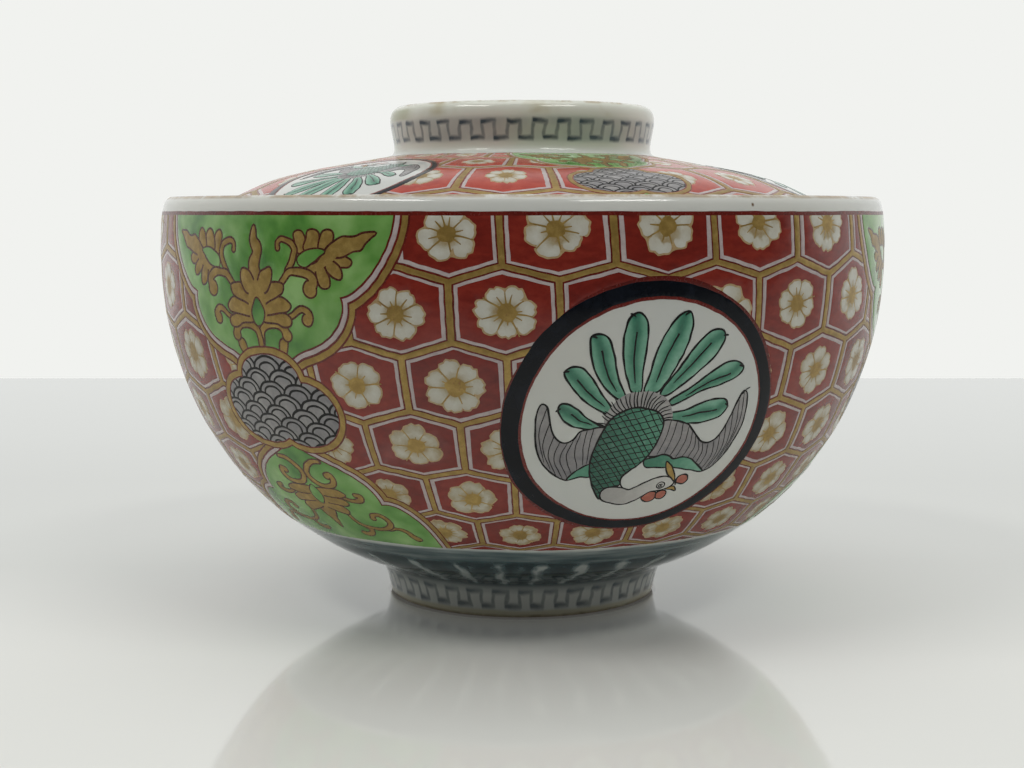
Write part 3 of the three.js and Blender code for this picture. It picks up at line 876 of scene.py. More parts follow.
def decorate(coats, cells, rows, top, low, lappets, roundels, lap_scale, cloud_w, lap_w, lower_w, round_r, ring, upside_down, flower_size, seed, nets, wide, wash, nudges):
    """Covers the band of a surface between top and low: cells everywhere, lappet groups and roundels over them."""
    masks = []  # (angle, w, outline)
    for k, th in enumerate(lappets):
        rng = random.Random(seed * 100 + k)
        lap = lappet_outlines(*lap_scale)
        low_ = lower_outlines(1.0, 1.0)
        cloud = cloud_outlines()
        masks += [(th, lap_w, lap[-1]), (th, lower_w, low_[-1]), (th, cloud_w, cloud[-1])]
        # everything in one frame round the cloud
        up = (0, (cloud_w - lap_w) * 1000)
        dn = (0, (cloud_w - lower_w) * 1000)
        shapes = []
        for lines, shift in ((lap, up), (low_, dn)):
            for p, colour in zip(lines[::-1], ("line", "gold", "line", "lavender", "line", "green")):
                shapes.append(shape(colour, dense(p + shift, 12), 0.5, step=26 if colour == "green" else 0))
        for motif, shift, scale in ((upper_palmette(rng), up, lap_scale), (lower_palmette(rng), dn, (1.0, 1.0))):
            shapes += [shape(c, p * scale + shift, tone, None, 0) for c, p, tone, within, step in motif]
        at = len(shapes)
        for p, colour in zip(cloud[::-1], ("line", "gold", "line", "grey")):
            shapes.append(shape(colour, dense(p, 12), 0.5, step=24 if colour == "grey" else 0))
        inner = len(shapes) - 1
        shapes += waves(inner, rng)
        shapes.append(shape(None, band((cloud_w - top) * 1000, (cloud_w - top) * 1000 + 600)))
        shapes.append(shape(None, band((cloud_w - low) * 1000 - 600, (cloud_w - low) * 1000)))
        coats.paint(shapes, th, cloud_w)
    for k, (th, w) in enumerate(roundels):
        rng = random.Random(seed * 100 + 50 + k)
        s = round_r / 368.0
        halo = ring_outline(round_r + 6 * s, rng, 0.012) + (-4 * s, -1 * s)
        masks.append((th, w, halo))
        shapes = [
            shape("line", halo, 0.2), shape("navy", ring_outline(round_r, rng) + (-4 * s, -1 * s), 0.5, step=13),
            shape("line", ring_outline(round_r - ring * s, rng), 0.85), shape(None, ring_outline(round_r - (ring + 7) * s, rng)),
        ]
        turn = -1.0 if upside_down else 1.0
        for c, p, tone, within, step in bird(rng):
            if callable(tone):
                tone = (lambda v, f=tone: f(v / (s * turn)))
            shapes.append((c, p * s * turn, tone, None if within is None else within + 4, step * s))
        shapes.append(shape(None, band((w - top) * 1000, (w - top) * 1000 + 600)))
        shapes.append(shape(None, band((w - low) * 1000 - 600, (w - low) * 1000)))
        coats.paint(shapes, th, w)
    boxes = [(th, w, p, p.min(0), p.max(0)) for th, w, p in masks]
    span = 2 * math.pi / len(nets)
    for sector, row, col in [(k, i, j) for k in range(len(nets)) for i in rows for j in range(cells.count)]:
        th, w, corners = cells.cell(row, col, nets[sector])
        start = lappets[sector]
        into = turn_to(th - start - span / 2)
        if abs(into) < span / 2 + 0.6 * cells.pitch / 1000:
            rng = random.Random(seed * 100000 + sector * 10000 + row * 100 + col)
            near = []
            hidden = False
            reach_x, reach_y = cells.pitch * 0.56, cells.side / 2 + cells.slant + 8
            for mth, mw, p, lo, hi in boxes:
                shift = np.array([turn_to(mth - th) * 1000, (w - mw) * 1000])
                if lo[0] + shift[0] < reach_x and hi[0] + shift[0] > -reach_x and lo[1] + shift[1] < reach_y and hi[1] + shift[1] > -reach_y:
                    q = p + shift
                    near.append(q)
                    if inside(q, np.array(corners)).all() and inside(q, np.zeros((1, 2))).all():
                        hidden = True
            if hidden:
                continue
            c = ccw(np.array(corners))
            g = np.array([rng.uniform(5.6, 6.8) if k % 3 != 1 else rng.uniform(6.8, 8.6) for k in range(6)])
            g = g * wide
            l0 = g + wide * np.array([rng.uniform(3.4, 4.8) for _ in range(6)])
            l1 = l0 + wide * np.array([rng.uniform(5.5, 8.0) if k % 3 != 1 else rng.uniform(7.5, 11.5) for k in range(6)])
            tone = rng.uniform(0.15, 0.85)
            shake = lambda p, d: p + np.array([(rng.uniform(-d, d), rng.uniform(-d, d)) for _ in p])
            lav = shake(inset(c, l1), 1.6)
            shapes = [
                shape("gold", dense(c, 24), rng.uniform(0.35, 0.65)),
                shape("line", dense(inset(c, g), 18), 0.5),
                shape("lavender", dense(shake(inset(c, l0), 0.6), 13), rng.uniform(0.3, 0.7)),
                shape("red", dense(lav, 13), tone, step=26),
            ]
            off = np.array([rng.uniform(-5, 5), rng.uniform(-4, 4)])
            k = rng.uniform(0.94, 1.06)
            nudge = nudges.get((sector, row, col), (0, 0))
            if nudge is not None:
                for colour, p, t, within, step in flower(flower_size[0] * k, flower_size[1] * k, rng, wash(sector, row) * rng.uniform(0.7, 1.15)):
                    shapes.append((colour, p + off + nudge, t, within, step))
            for q in near:
                shapes.append(shape(None, q))
            # each stretch of the net ends under the lappets
            if len(nets) > 1:
                x0, x1 = turn_to(start - th) * 1000, turn_to(start + span - th) * 1000
                if abs(x0) < reach_x:
                    shapes.append(shape(None, [(x0 - 400, -500), (x0, -500), (x0, 500), (x0 - 400, 500)]))
                if abs(x1) < reach_x:
                    shapes.append(shape(None, [(x1, -500), (x1 + 400, -500), (x1 + 400, 500), (x1, 500)]))
            if (w - top) * 1000 < reach_y:
                shapes.append(shape(None, band((w - top) * 1000, (w - top) * 1000 + 400, 190)))
            if (low - w) * 1000 < reach_y:
                shapes.append(shape(None, band((w - low) * 1000 - 400, (w - low) * 1000, 190)))
            coats.paint(shapes, th, w)


# ---- shader helpers ---------------------------------------------------------------------------------
class Val:
    """A value in a node tree, so that sums can be written as sums."""

    def __init__(self, tree, socket):
        self.tree, self.socket = tree, socket

    def op(self, operation, *others, clamp=False):
        n = self.tree.nodes.new("ShaderNodeMath")
        n.operation, n.use_clamp = operation, clamp
        for i, a in enumerate((self,) + others):
            if isinstance(a, Val):
                self.tree.links.new(a.socket, n.inputs[i])
            else:
                n.inputs[i].default_value = a
        return Val(self.tree, n.outputs[0])

    def __add__(self, o): return self.op("ADD", o)
    __radd__ = __add__
    def __sub__(self, o): return self.op("SUBTRACT", o)
    def __rsub__(self, o): return (self * -1.0) + o
    def __mul__(self, o): return self.op("MULTIPLY", o)
    __rmul__ = __mul__
    def __truediv__(self, o): return self.op("DIVIDE", o)
    def abs(self): return self.op("ABSOLUTE")
    def fract(self): return self.op("FRACT")
    def floor(self): return self.op("FLOOR")
    def min(self, o): return self.op("MINIMUM", o)
    def max(self, o): return self.op("MAXIMUM", o)
    def clamp(self): return self.op("ADD", 0.0, clamp=True)

    def step(self, a, b):
        """0 at a, 1 at b, smooth between; a may be above b."""
        n = self.tree.nodes.new("ShaderNodeMapRange")
        n.interpolation_type = "SMOOTHSTEP"
        self.tree.links.new(self.socket, n.inputs[0])
        if a < b:
            n.inputs[1].default_value, n.inputs[2].default_value = a, b
            n.inputs[3].default_value, n.inputs[4].default_value = 0.0, 1.0
        else:
            n.inputs[1].default_value, n.inputs[2].default_value = b, a
            n.inputs[3].default_value, n.inputs[4].default_value = 1.0, 0.0
        return Val(self.tree, n.outputs[0])


class Material:
    def __init__(self, name):
        self.mat = bpy.data.materials.new(name)
        self.mat.use_nodes = True
        self.tree = self.mat.node_tree
        self.tree.nodes.clear()
        self.bsdf = self.tree.nodes.new("ShaderNodeBsdfPrincipled")
        out = self.tree.nodes.new("ShaderNodeOutputMaterial")
        self.tree.links.new(self.bsdf.outputs[0], out.inputs[0])
        self.coord = self.tree.nodes.new("ShaderNodeTexCoord")

    def where(self):
        """Place on the object, in mm."""
        sep = self.tree.nodes.new("ShaderNodeSeparateXYZ")
        self.tree.links.new(self.coord.outputs["Object"], sep.inputs[0])
        return [Val(self.tree, s) * 1000.0 for s in sep.outputs]

    def noise(self, scale, detail=3.0, rough=0.55, distort=0.0, stretch=None):
        """Noise whose scale is in features per metre."""
        n = self.tree.nodes.new("ShaderNodeTexNoise")
        n.inputs["Scale"].default_value = scale
        n.inputs["Detail"].default_value = detail
        n.inputs["Roughness"].default_value = rough
        n.inputs["Distortion"].default_value = distort
        src = self.coord.outputs["Object"]
        if stretch:
            m = self.tree.nodes.new("ShaderNodeMapping")
            m.inputs["Scale"].default_value = stretch
            self.tree.links.new(src, m.inputs[0])
            src = m.outputs[0]
        self.tree.links.new(src, n.inputs["Vector"])
        return Val(self.tree, n.outputs[0])

    def brushed(self, u, v, detail=3.0):
        """Noise over two values, for strokes that follow the turning."""
        c = self.tree.nodes.new("ShaderNodeCombineXYZ")
        self.tree.links.new(u.socket, c.inputs[0])
        self.tree.links.new(v.socket, c.inputs[1])
        n = self.tree.nodes.new("ShaderNodeTexNoise")
        n.inputs["Scale"].default_value = 1.0
        n.inputs["Detail"].default_value = detail
        self.tree.links.new(c.outputs[0], n.inputs["Vector"])
        return Val(self.tree, n.outputs[0])

    def spots(self, scale):
        """Distance to, and a random number of, the nearest of points strewn at scale per metre."""
        n = self.tree.nodes.new("ShaderNodeTexVoronoi")
        n.inputs["Scale"].default_value = scale
        self.tree.links.new(self.coord.outputs["Object"], n.inputs["Vector"])
        sep = self.tree.nodes.new("ShaderNodeSeparateColor")
        self.tree.links.new(n.outputs["Color"], sep.inputs[0])
        return Val(self.tree, n.outputs["Distance"]), Val(self.tree, sep.outputs[0])

    def attribute(self, name):
        n = self.tree.nodes.new("ShaderNodeAttribute")
        n.attribute_name = name
        return Val(self.tree, n.outputs["Fac"])

    def mix(self, factor, a, b):
        n = self.tree.nodes.new("ShaderNodeMix")
        n.data_type = "RGBA"
        self.tree.links.new(factor.socket, n.inputs[0])
        for i, c in ((6, a), (7, b)):
            if isinstance(c, tuple):
                n.inputs[i].default_value = (*c, 1.0)
            else:
                self.tree.links.new(c, n.inputs[i])
        return n.outputs[2]

    def ramp(self, value, stops):
        n = self.tree.nodes.new("ShaderNodeValToRGB")
        while len(n.color_ramp.elements) < len(stops):
            n.color_ramp.elements.new(0.5)
        for e, (p, c) in zip(n.color_ramp.elements, stops):
            e.position, e.color = p, (*c, 1.0)
        self.tree.links.new(value.socket, n.inputs[0])
        return n.outputs[0]

    def bump(self, height, strength, distance):
        n = self.tree.nodes.new("ShaderNodeBump")
        n.inputs["Strength"].default_value = strength
        n.inputs["Distance"].default_value = distance
        self.tree.links.new(height.socket, n.inputs["Height"])
        self.tree.links.new(n.outputs[0], self.bsdf.inputs["Normal"])

    def link(self, socket, name):
        self.tree.links.new(socket.socket if isinstance(socket, Val) else socket, self.bsdf.inputs[name])

    def put(self, **values):
        for k, v in values.items():
            self.bsdf.inputs[k.replace("_", " ")].default_value = v


def srgb(r, g, b):
    f = lambda c: c / 12.92 if c <= 0.04045 else ((c + 0.055) / 1.055) ** 2.4
    return (f(r / 255), f(g / 255), f(b / 255))


def enamel(name, stops, rough, tone_share=0.45, scale=420.0, metallic=0.0, streak=None, bump=0.12, wear=None, ior=1.52, detail=4.0):
    """One enamel: its colour runs from thin to pooled by the stroke's own tone and by a cloudy noise."""
    m = Material(name)
    cloud = m.noise(scale, detail, 0.6, 0.3, streak)
    fine = m.noise(scale * 5, 3.0, 0.6)
    f = m.attribute("tone") * tone_share + (cloud - 0.5) * (1.7 * (1 - tone_share)) + 0.5 * (1 - tone_share) + (fine - 0.5) * 0.22
    colour = m.ramp(f, stops)
    if wear:
        # rubbed spots where the ground shows through
        at, bare, amount = wear
        rub = m.noise(1500.0, 5.0, 0.7).step(at, at + 0.08) * m.noise(160.0, 2.0).step(0.42, 0.62) * amount
        colour = m.mix(rub, colour, bare)
    m.link(colour, "Base Color")
    m.link((fine - 0.5) * 0.16 + rough, "Roughness")
    m.put(Metallic=metallic, IOR=ior)
    m.bump(cloud * 0.6 + fine * 0.4, bump, 0.00006)
    return m.mat


def key_fret(m, x, y, z, z0, z1, count, phase, bar, soft, stem, dark):
    """A square-wave border brushed round a ring between heights z0 and z1: how much cobalt lies at each place."""
    turn = x.op("ARCTAN2", y * -1.0)
    shake = m.noise(260.0, 2.0) - 0.5
    a = turn * (count / (2 * math.pi)) + phase + shake * 0.34
    zz = z + (m.noise(330.0, 2.0, 0.5) - 0.5) * 0.8
    # along the upper and lower bars, 0 in their middles; each stroke starts loaded and runs dry
    f, g = (a + 0.25).fract() - 0.5, (a - 0.25).fract() - 0.5
    top = (zz - (z1 - bar)).abs().step(bar + soft, bar - soft) * f.abs().step(0.34, 0.26) * (0.95 - f * 0.9)
    bottom = (zz - (z0 + bar)).abs().step(bar + soft, bar - soft) * g.abs().step(0.34, 0.26) * (1.0 - g * 0.8)
    upright = ((a * 2.0 + 0.5).fract() - 0.5).abs().step(0.22, 0.07)
    reach = ((z - (z0 + z1) / 2).abs()).step((z1 - z0) / 2 + 0.1, (z1 - z0) / 2 - 0.25)
    body = top.max(bottom).max(upright * reach * stem)
    wash = m.noise(600.0, 3.0, 0.6)
    return (body * (wash * 0.8 + 0.55)).clamp() * dark


def glaze(name, parts):
    """White porcelain glaze with its cobalt, specks and worn edges."""
    m = Material(name)
    x, y, z = m.where()
    r = (x * x + y * y).op("SQRT")
    cloud = m.noise(38.0, 3.0, 0.5)
    colour = m.ramp(cloud, [(0.3, srgb(213, 217, 214)), (0.5, srgb(222, 224, 219)), (0.72, srgb(226, 226, 218))])
    fine = m.noise(2400.0, 2.0)
    rough = (m.noise(300.0, 3.0) - 0.5) * 0.06 + 0.085
    colour, rough = parts(m, x, y, z, r, colour, rough)
    # iron specks burnt through the glaze
    d, pick = m.spots(150.0)
    speck = d.step(0.075, 0.03) * pick.step(0.955, 0.97)
    colour = m.mix(speck * 0.75, colour, srgb(120, 92, 62))
    m.link(colour, "Base Color")
    m.link(rough, "Roughness")
    m.put(IOR=1.5)
    m.bump(m.noise(140.0, 2.0) * 0.75 + fine * 0.05 + m.noise(520.0, 2.0) * 0.2, 0.18, 0.0002)
    return m.mat


# ---- build the bodies ---------------------------------------------------------------------------------
bowl_profile, bk = spline(BOWL_SECTION, 0.8, axis_ends=True)
bowl_profile[:, 1] = np.maximum(bowl_profile[:, 1], 0.0)
bowl_profile[:, 0] = np.maximum(bowl_profile[:, 0], 0.0)
lid_profile, lk = spline(LID_SECTION, 0.8, axis_ends=True)
lid_profile[:, 1] = np.minimum(lid_profile[:, 1], 79.0)
lid_profile[:, 0] = np.maximum(lid_profile[:, 0], 0.0)

i_foot = bk[BOWL_SECTION.index((21.65, 0.35))]
i_wall = bk[BOWL_SECTION.index((29.1, 8.1))]
i_rim = bk[BOWL_SECTION.index((57.35, 62.7))]
i_lip = bk[BOWL_SECTION.index((55.05, 63.2))]
bowl_body = turned("bowl_body", bowl_profile, 320, [
    (0, i_foot, 0.14), (i_foot, i_wall, 0.22), (i_wall, i_rim, 0.24), (i_rim, i_lip, 0.1), (i_lip, len(bowl_profile) - 1, 0.3)])
j_edge = lk[LID_SECTION.index((53.5, 58.8))]
j_base = lk[LID_SECTION.index((21.6, 71.15))]
j_top = lk[LID_SECTION.index((18.75, 78.65))]
lid_body = turned("lid_body", lid_profile, 320, [
    (0, j_edge, 0.3), (j_edge, j_base, 0.24), (j_base, j_top, 0.28), (j_top, len(lid_profile) - 1, 0.18)])

dense_bowl, dk = spline(BOWL_SECTION, 0.1, axis_ends=True)
a, b = dk[BOWL_SECTION.index((21.65, 0.35))], dk[BOWL_SECTION.index((57.0, 63.9))]
zero = dk[BOWL_SECTION.index((57.35, 62.7))]
bowl_side = Surface(dense_bowl[a:b + 1][::-1], b - zero)
dense_lid, dk = spline(LID_SECTION, 0.1, axis_ends=True)
a, b = dk[LID_SECTION.index((53.85, 57.6))], dk[LID_SECTION.index((20.85, 71.75))]
zero = dk[LID_SECTION.index((21.6, 71.15))]
lid_side = Surface(dense_lid[a:b + 1][::-1], b - zero)

# ---- paint them -----------------------------------------------------------------------------------------
third = 2 * math.pi / 3
bowl_coats = Coats(bowl_side, Wobble(11, 0.9, 0.62, 0.0145))
BOWL_TOP, BOWL_LOW = 0.0145, 1.036
decorate(
    bowl_coats, Cells(24, math.radians(-10.5), 0.055, 137.0, 37.5, 5), range(0, 7), BOWL_TOP, BOWL_LOW,
    [math.radians(-39.35) + k * third for k in range(3)],
    [(math.radians(18.0) + k * third, 0.531) for k in range(3)],
    (1.0, 1.0), 0.48, 0.20, 0.80, 368.0, 38.0, False, (72.0, 65.0), 3,
    [lambda th, w: (-43 * (turn_to(th) - 0.17) + 40 * (w - 0.3), 14 * (turn_to(th) - 0.1) * (1 - 0.5 * w)),
     lambda th, w: (38 - 30 * turn_to(th - third - 0.36) + 20 * (w - 0.3), 10.0),
     lambda th, w: (-72.0, 33.0)],
    1.0, lambda sector, row: min(1.1, max(0.1, (row - 0.6) / 3.2) + (0.5 if sector == 2 else 0.0)),
    {(0, 0, 1): (2, 8), (0, 0, 2): (0, 18), (0, 0, 3): (0, 18), (0, 0, 4): (0, 14), (0, 1, 1): None, (0, 1, 2): (28, -18)})
bowl_coats.ring("line", 0.0050, BOWL_TOP, 21, 0.05, 0.7)

lid_coats = Coats(lid_side, Wobble(12, 0.9, 0.7))
LID_TOP, LID_LOW = 0.016, 0.945
decorate(
    lid_coats, Cells(20, math.radians(-3.5), 0.057, 240.0, 46.0, 6), range(0, 4), LID_TOP, LID_LOW,
    [math.radians(21.1) + k * third for k in range(3)],
    [(math.radians(-39.9) + k * third, 0.555) for k in range(3)],
    (1.14, 1.3), 0.643, 0.272, 0.963, 336.0, 27.0, True, (75.0, 80.0), 4,
    [lambda th, w: (0.0, 0.0)], 1.4, lambda sector, row: 0.4, {})
lid_coats.ring("line", 0.006, LID_TOP, 22, 0.08, 0.4)
lid_coats.ring("line", 0.957, LID_LOW, 23, 0.08, 0.4)

COATS = {
    # colour: (height over the glaze in mm, lean of the edges)
    "line": (0.018, 0.06), "red": (0.024, 0.08), "lavender": (0.034, 0.16), "gold": (0.046, 0.16), "tan": (0.028, 0.08),
    "white": (0.045, 0.16), "green": (0.050, 0.12), "grey": (0.026, 0.08), "black": (0.032, 0.1), "navy": (0.036, 0.08),
    "teal": (0.040, 0.14), "coral": (0.034, 0.14), "pale": (0.028, 0.1), "umber": (0.056, 0.06),
}
PIECE = {
    "line": "brown_red_lines", "red": "red_cells", "lavender": "lavender_lines", "gold": "gold_work", "tan": "flower_grounds",
    "white": "flower_petals", "green": "green_lappets", "grey": "grey_washes", "black": "black_lines", "navy": "roundel_rings",
    "teal": "teal_feathers", "coral": "coral_combs", "pale": "bird_necks", "umber": "scroll_outlines",
}
MATERIALS = {
    "line": enamel("brown_red_line", [(0.1, srgb(78, 18, 13)), (0.5, srgb(108, 28, 20)), (0.9, srgb(130, 40, 29))], 0.26, 0.3, 500),
    "red": enamel("iron_red", [(0.1, srgb(106, 27, 19)), (0.5, srgb(134, 39, 28)), (0.9, srgb(158, 55, 40))], 0.2, 0.4, 380, streak=(1, 1, 2.2)),
    "lavender": enamel("lavender_enamel", [(0.1, srgb(178, 160, 160)), (0.5, srgb(198, 184, 183)), (0.9, srgb(216, 206, 203))], 0.2, 0.4, 900),
    "gold": enamel("worn_gold", [(0.1, srgb(128, 101, 48)), (0.5, srgb(165, 135, 70)), (0.9, srgb(202, 171, 98))], 0.34, 0.45, 900, metallic=0.3, wear=(0.56, srgb(138, 90, 60), 0.5)),
    "tan": enamel("thin_gold_wash", [(0.1, srgb(164, 134, 92)), (0.5, srgb(188, 160, 116)), (0.9, srgb(206, 182, 140))], 0.28, 0.45, 800),
    "white": enamel("white_enamel", [(0.05, srgb(168, 142, 96)), (0.32, srgb(192, 182, 156)), (0.55, srgb(210, 206, 191)), (0.95, srgb(224, 224, 214))], 0.16, 0.68, 620),
    "green": enamel("green_enamel", [(0.12, srgb(66, 124, 52)), (0.38, srgb(103, 159, 74)), (0.58, srgb(129, 179, 96)), (0.85, srgb(160, 203, 128))], 0.1, 0.06, 125, bump=0.2, detail=2.0),
    "umber": enamel("umber_line", [(0.1, srgb(58, 23, 14)), (0.5, srgb(82, 35, 22)), (0.9, srgb(106, 52, 34))], 0.28, 0.3, 500),
    "grey": enamel("grey_wash", [(0.1, srgb(124, 122, 127)), (0.5, srgb(156, 153, 153)), (0.9, srgb(190, 188, 184))], 0.2, 0.5, 500),
    "black": enamel("black_line", [(0.1, srgb(8, 8, 8)), (0.5, srgb(16, 16, 16)), (0.9, srgb(36, 35, 34))], 0.24, 0.2, 700, ior=1.33),
    "navy": enamel("blue_black", [(0.1, srgb(6, 9, 15)), (0.5, srgb(13, 17, 25)), (0.9, srgb(28, 33, 44))], 0.16, 0.2, 260, ior=1.33),
    "teal": enamel("teal_enamel", [(0.05, srgb(34, 90, 72)), (0.4, srgb(66, 136, 109)), (0.75, srgb(118, 180, 152)), (1.0, srgb(166, 208, 188))], 0.1, 0.8, 300, bump=0.2),
    "coral": enamel("coral_enamel", [(0.1, srgb(160, 80, 62)), (0.5, srgb(188, 108, 88)), (0.9, srgb(206, 136, 116))], 0.2, 0.4, 500),
    "pale": enamel("pale_grey_wash", [(0.1, srgb(160, 159, 157)), (0.5, srgb(192, 190, 186)), (0.9, srgb(220, 219, 214))], 0.14, 0.8, 400),
}
# painted light: the lid's red and its lines are lighter copies of the bowl's, standing in for the light from above
LID_MATERIALS = dict(MATERIALS)
LID_MATERIALS["red"] = enamel("lid_lit_iron_red", [(0.1, srgb(154, 46, 32)), (0.5, srgb(184, 62, 44)), (0.9, srgb(206, 88, 66))], 0.2, 0.4, 380, streak=(1, 1, 2.2))
LID_MATERIALS["line"] = enamel("lid_lit_brown_red_line", [(0.1, srgb(104, 36, 26)), (0.5, srgb(134, 52, 40)), (0.9, srgb(156, 72, 56))], 0.26, 0.3, 500)


def bowl_parts(m, x, y, z, r, colour, rough):
    outside = (z - (r * 0.44 - 2.35)).step(0.4, -0.4) * r.step(20.6, 20.9)
    # petal band between the enamels and the foot: a brushed wash, then petals parted by bare streaks
    r_low = float(bowl_side.at(BOWL_LOW)[0])
    turn = x.op("ARCTAN2", y * -1.0)
    shake = m.noise(150.0, 2.0) - 0.5
    down = (r_low - (r + shake * 0.7)) / (r_low - 23.1)
    a = turn * (32 / (2 * math.pi)) + 0.61 + shake * 0.5 + (m.noise(60.0, 1.0) - 0.5) * 0.7
    f = (a.fract() - 0.5).abs()
    round_ = m.brushed(turn * 3.0, r * 0.7)
    radial = m.brushed(turn * 24.0, r * 0.25)
    blot = m.noise(170.0, 3.0, 0.6, 0.4)
    upper = down.step(0.0, 0.06) * down.step(0.34, 0.24)
    petal = down.step(0.24, 0.32)
    parted = (f + (radial - 0.5) * 0.5 + (blot - 0.5) * 0.3).step(0.26, 0.52) * down.step(1.02, 0.88)
    heart = (f * f * 22.0 + (down - 0.42) * (down - 0.42) * 110.0).step(1.0, 0.35) * blot.step(0.42, 0.56)
    blue = upper * (round_ * 0.6 + down * 0.6 + 0.2) + petal * ((1.0 - parted * 0.64) * (radial * 0.7 + 0.42) + heart * 0.5)
    junction = down.step(0.9, 1.0) * r.step(22.3, 22.9) * 0.5
    blue = (blue + junction + 0.1).clamp() * outside * r.step(22.4, 23.0)
    colour = m.mix((blue * 1.15).clamp(), colour, srgb(78, 110, 116))
    colour = m.mix(((blue - 0.45) * 2.0).clamp(), colour, srgb(22, 46, 50))
    # painted light: the glaze on the foot is lightened, standing in for light thrown up from the table; key fret on it
    foot = r.step(20.9, 21.2) * z.step(6.2, 4.6) * outside
    colour = m.mix(foot * 0.85, colour, srgb(226, 228, 222))
    fret = key_fret(m, x, y, z, 1.6, 4.9, 36, 0.15, 0.44, 0.46, 0.75, 0.72) * r.step(21.4, 21.7) * r.step(23.9, 23.5)
    warm = foot * (z + shake * 0.6).step(1.7, 1.0)
    colour = m.mix(warm * 0.75, colour, srgb(208, 200, 168))
    colour = m.mix(fret, colour, srgb(46, 68, 84))
    # glaze thins to bare body at the foot's edge, and gathers grey-blue in its corner
    pooled = (z - 5.4).abs().step(1.6, 0.2) * r.step(21.5, 21.9) * r.step(25.3, 23.9)
    colour = m.mix(pooled * 0.35, colour, srgb(120, 134, 140))
    bare = (z + (m.noise(230.0, 3.0) - 0.5) * 0.7).step(0.85, 0.35) * r.step(18.0, 18.3)
    colour = m.mix(bare * 0.85, colour, m.ramp(m.noise(900.0, 4.0), [(0.3, srgb(140, 124, 92)), (0.7, srgb(182, 168, 136))]))
    rough = rough + bare * 0.45
    stain = m.noise(70.0, 2.0).step(0.6, 0.72) * (z - 1.0).abs().step(1.6, 0.3) * r.step(21.0, 21.3)
    colour = m.mix(stain * 0.5, colour, srgb(168, 138, 84))
    # painted light: the glaze on the lip is lightened, standing in for the light on the rim, with worn gilding along
    # its edge
    colour = m.mix(z.step(60.6, 61.6) * 0.5, colour, srgb(242, 242, 234))
    gilt = (z - 64.42).step(-0.42, 0.0) * (m.noise(260.0, 4.0, 0.65).step(0.34, 0.56)) * 0.8
    colour = m.mix(gilt, colour, m.ramp(m.noise(700.0), [(0.3, srgb(148, 118, 78)), (0.7, srgb(190, 164, 122))]))
    rough = rough + gilt * 0.18
    fleck = (turn - 0.56).abs().step(0.0055, 0.001) * (z - 63.3).abs().step(0.34, 0.06) * r.step(56.9, 57.1)
    colour = m.mix(fleck, colour, srgb(112, 82, 48))
    return colour, rough


def lid_parts(m, x, y, z, r, colour, rough):
    outer = r.step(19.9, 20.3)
    # glaze is bluer and deeper round the grip
    pool = (z - 71.7).abs().step(1.8, 0.2) * r.step(23.6, 22.2) * outer
    colour = m.mix(pool * 0.3, colour, srgb(190, 206, 206))
    # painted light: the grip's glaze is lightened, standing in for the light that falls on it
    colour = m.mix(z.step(70.6, 72.2) * 0.9, colour, srgb(245, 247, 234))
    fret = key_fret(m, x, y, z, 73.15, 76.2, 35, 0.62, 0.33, 0.3, 0.62, 0.97) * outer
    colour = m.mix(fret, colour, srgb(24, 34, 52))
    halo = ((z - 74.8).abs().step(2.4, 1.4)) * outer * m.noise(150.0, 3.0).step(0.35, 0.75)
    colour = m.mix(halo * 0.2 + (z - 74.7).abs().step(2.3, 1.3) * outer * 0.26, colour, srgb(112, 134, 146))
    # old stains on the grip's top and foot
    turn = x.op("ARCTAN2", y * -1.0)
    stain = m.noise(95.0, 3.0, 0.6).step(0.52, 0.7) * z.step(76.3, 77.6) * r.step(18.0, 18.6)
    colour = m.mix(stain * 0.55, colour, srgb(186, 172, 120))
    lichen = (turn + 1.2).abs().step(0.34, 0.12) * (z - 77.4).abs().step(1.2, 0.5) * outer
    colour = m.mix(lichen * 0.6, colour, srgb(166, 172, 118))
    edge = z.step(78.5, 78.95) * m.noise(330.0, 4.0).step(0.45, 0.62) * 0.7
    colour = m.mix(edge, colour, srgb(172, 146, 98))
    rough = rough + edge * 0.3
    gilt = (z - 57.75).step(0.35, 0.0) * r.step(52.0, 52.6) * m.noise(260.0, 4.0, 0.65).step(0.36, 0.56) * 0.75
    colour = m.mix(gilt, colour, srgb(176, 146, 100))
    return colour, rough


bowl_body.data.materials.append(glaze("bowl_glaze", bowl_parts))
lid_body.data.materials.append(glaze("lid_glaze", lid_parts))
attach(bowl_body, "bowl")
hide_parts("soup_bowl")
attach(lid_body, "lid")
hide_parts("bowl_lid")

for coats, body in ((bowl_coats, "bowl"), (lid_coats, "lid")):
    for colour in sorted(coats.parts):
        height, lean = COATS[colour]
        piece = coats.solid(f"{body}_{PIECE[colour]}", colour, height, lean)
        piece.data.materials.append((MATERIALS if body == "bowl" else LID_MATERIALS)[colour])
        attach(piece, body)

# ---- floor, light and camera ----------------------------------------------------------------------------
FLOOR_BACK = 0.336
floor = mesh_object("floor", [(-1.6, -0.24, 0), (1.6, -0.24, 0), (1.6, FLOOR_BACK, 0), (-1.6, FLOOR_BACK, 0)], [(0, 1, 2, 3)])
fm = Material("pale_table")
fx, fy, fz = fm.where()
# painted shade: the table's colour runs lighter and darker from front to back, standing in for how the light falls
# across it
shade_run = (fy + (fm.noise(9.0, 3.0) - 0.5) * 24.0 + 240.0) / 580.0
table = fm.ramp(shade_run, [(0.0, srgb(186, 187, 184)), (0.14, srgb(194, 195, 192)), (0.25, srgb(233, 234, 229)), (0.34, srgb(231, 232, 227)), (0.44, srgb(206, 208, 203)), (0.6, srgb(200, 202, 198)), (1.0, srgb(216, 218, 215))])
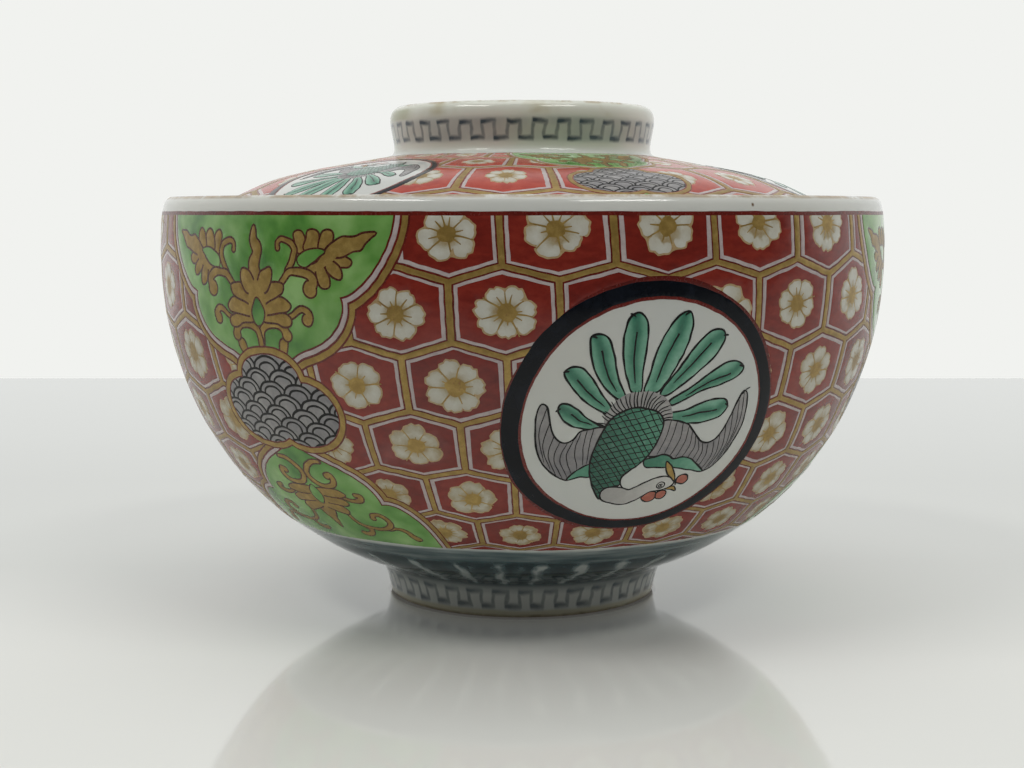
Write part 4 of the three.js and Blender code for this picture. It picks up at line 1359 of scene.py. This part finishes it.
# painted shadow: the table darkened round the foot, and a dark painted contact shadow in the gap under its rounded edge
near = (fx * fx + fy * fy).op("SQRT")
table = fm.mix(near.step(46.0, 25.0) * 0.2, table, srgb(140, 147, 132))
fm.link(fm.mix(near.step(22.5, 21.6) * 0.85, table, srgb(62, 60, 46)), "Base Color")
fm.link((fm.noise(40.0, 2.0) - 0.5) * 0.02 + 0.06, "Roughness")
# the table glows faintly: painted light that lifts its shade near the bowl
fm.put(IOR=1.5, Coat_Weight=0.08, Coat_Roughness=0.07, Emission_Color=(1.0, 1.0, 0.98, 1.0), Emission_Strength=0.05)
floor.data.materials.append(fm.mat)

world = bpy.data.worlds.new("pale_room")
bpy.context.scene.world = world
world.use_nodes = True
wt = world.node_tree
wt.nodes.clear()
wout = wt.nodes.new("ShaderNodeOutputWorld")
coord = wt.nodes.new("ShaderNodeTexCoord")
sep = wt.nodes.new("ShaderNodeSeparateXYZ")
wt.links.new(coord.outputs["Generated"], sep.inputs[0])
back = Val(wt, sep.outputs[1])
high = Val(wt, sep.outputs[2])
glow = back.step(-0.3, 0.45) * (high.step(0.82, 0.34) * 0.52 + 0.3) + 0.07
room = wt.nodes.new("ShaderNodeBackground")
room.inputs["Color"].default_value = (0.985, 1.0, 0.985, 1)
wt.links.new(glow.socket, room.inputs["Strength"])
seen = wt.nodes.new("ShaderNodeBackground")
seen.inputs["Color"].default_value = (*srgb(241, 242, 239), 1)
seen.inputs["Strength"].default_value = 1.0
light_path = wt.nodes.new("ShaderNodeLightPath")
blend = wt.nodes.new("ShaderNodeMixShader")
wt.links.new(light_path.outputs["Is Camera Ray"], blend.inputs[0])
wt.links.new(room.outputs[0], blend.inputs[1])
wt.links.new(seen.outputs[0], blend.inputs[2])
wt.links.new(blend.outputs[0], wout.inputs[0])


def lamp(name, azimuth, elevation, distance, size, power, colour=(1, 1, 1)):
    """A soft light; azimuth 0 is in front of the object, positive to its right."""
    data = bpy.data.lights.new(name, "AREA")
    data.shape = "RECTANGLE"
    data.size, data.size_y = size
    data.energy = power
    data.color = colour
    obj = bpy.data.objects.new(name, data)
    bpy.context.scene.collection.objects.link(obj)
    a, e = math.radians(azimuth), math.radians(elevation)
    away = Vector((math.sin(a) * math.cos(e), -math.cos(a) * math.cos(e), math.sin(e)))
    obj.location = Vector((0, 0, 0.05)) + away * distance
    obj.rotation_mode = "QUATERNION"
    obj.rotation_quaternion = away.to_track_quat("Z", "Y")
    return obj


lamp("left_softbox", -57, 52, 0.95, (0.42, 0.12), 1.68, (1.0, 0.99, 0.96))
lamp("right_softbox", 40, 52, 0.95, (0.42, 0.12), 1.68, (1.0, 0.99, 0.96))
lamp("overhead", 0, 89, 1.1, (0.9, 0.9), 4.0)

cam_data = bpy.data.cameras.new("camera")
cam_data.sensor_width = 36.0
cam_data.lens = 56.25
cam = bpy.data.objects.new("camera", cam_data)
bpy.context.scene.collection.objects.link(cam)
cam.location = (-0.00165, -0.2628, 0.06237)
cam.rotation_euler = (math.radians(90 - 6.15), 0, 0)
bpy.context.scene.camera = cam

bpy.context.scene.view_settings.view_transform = "Standard"
bpy.context.scene.view_settings.look = "None"
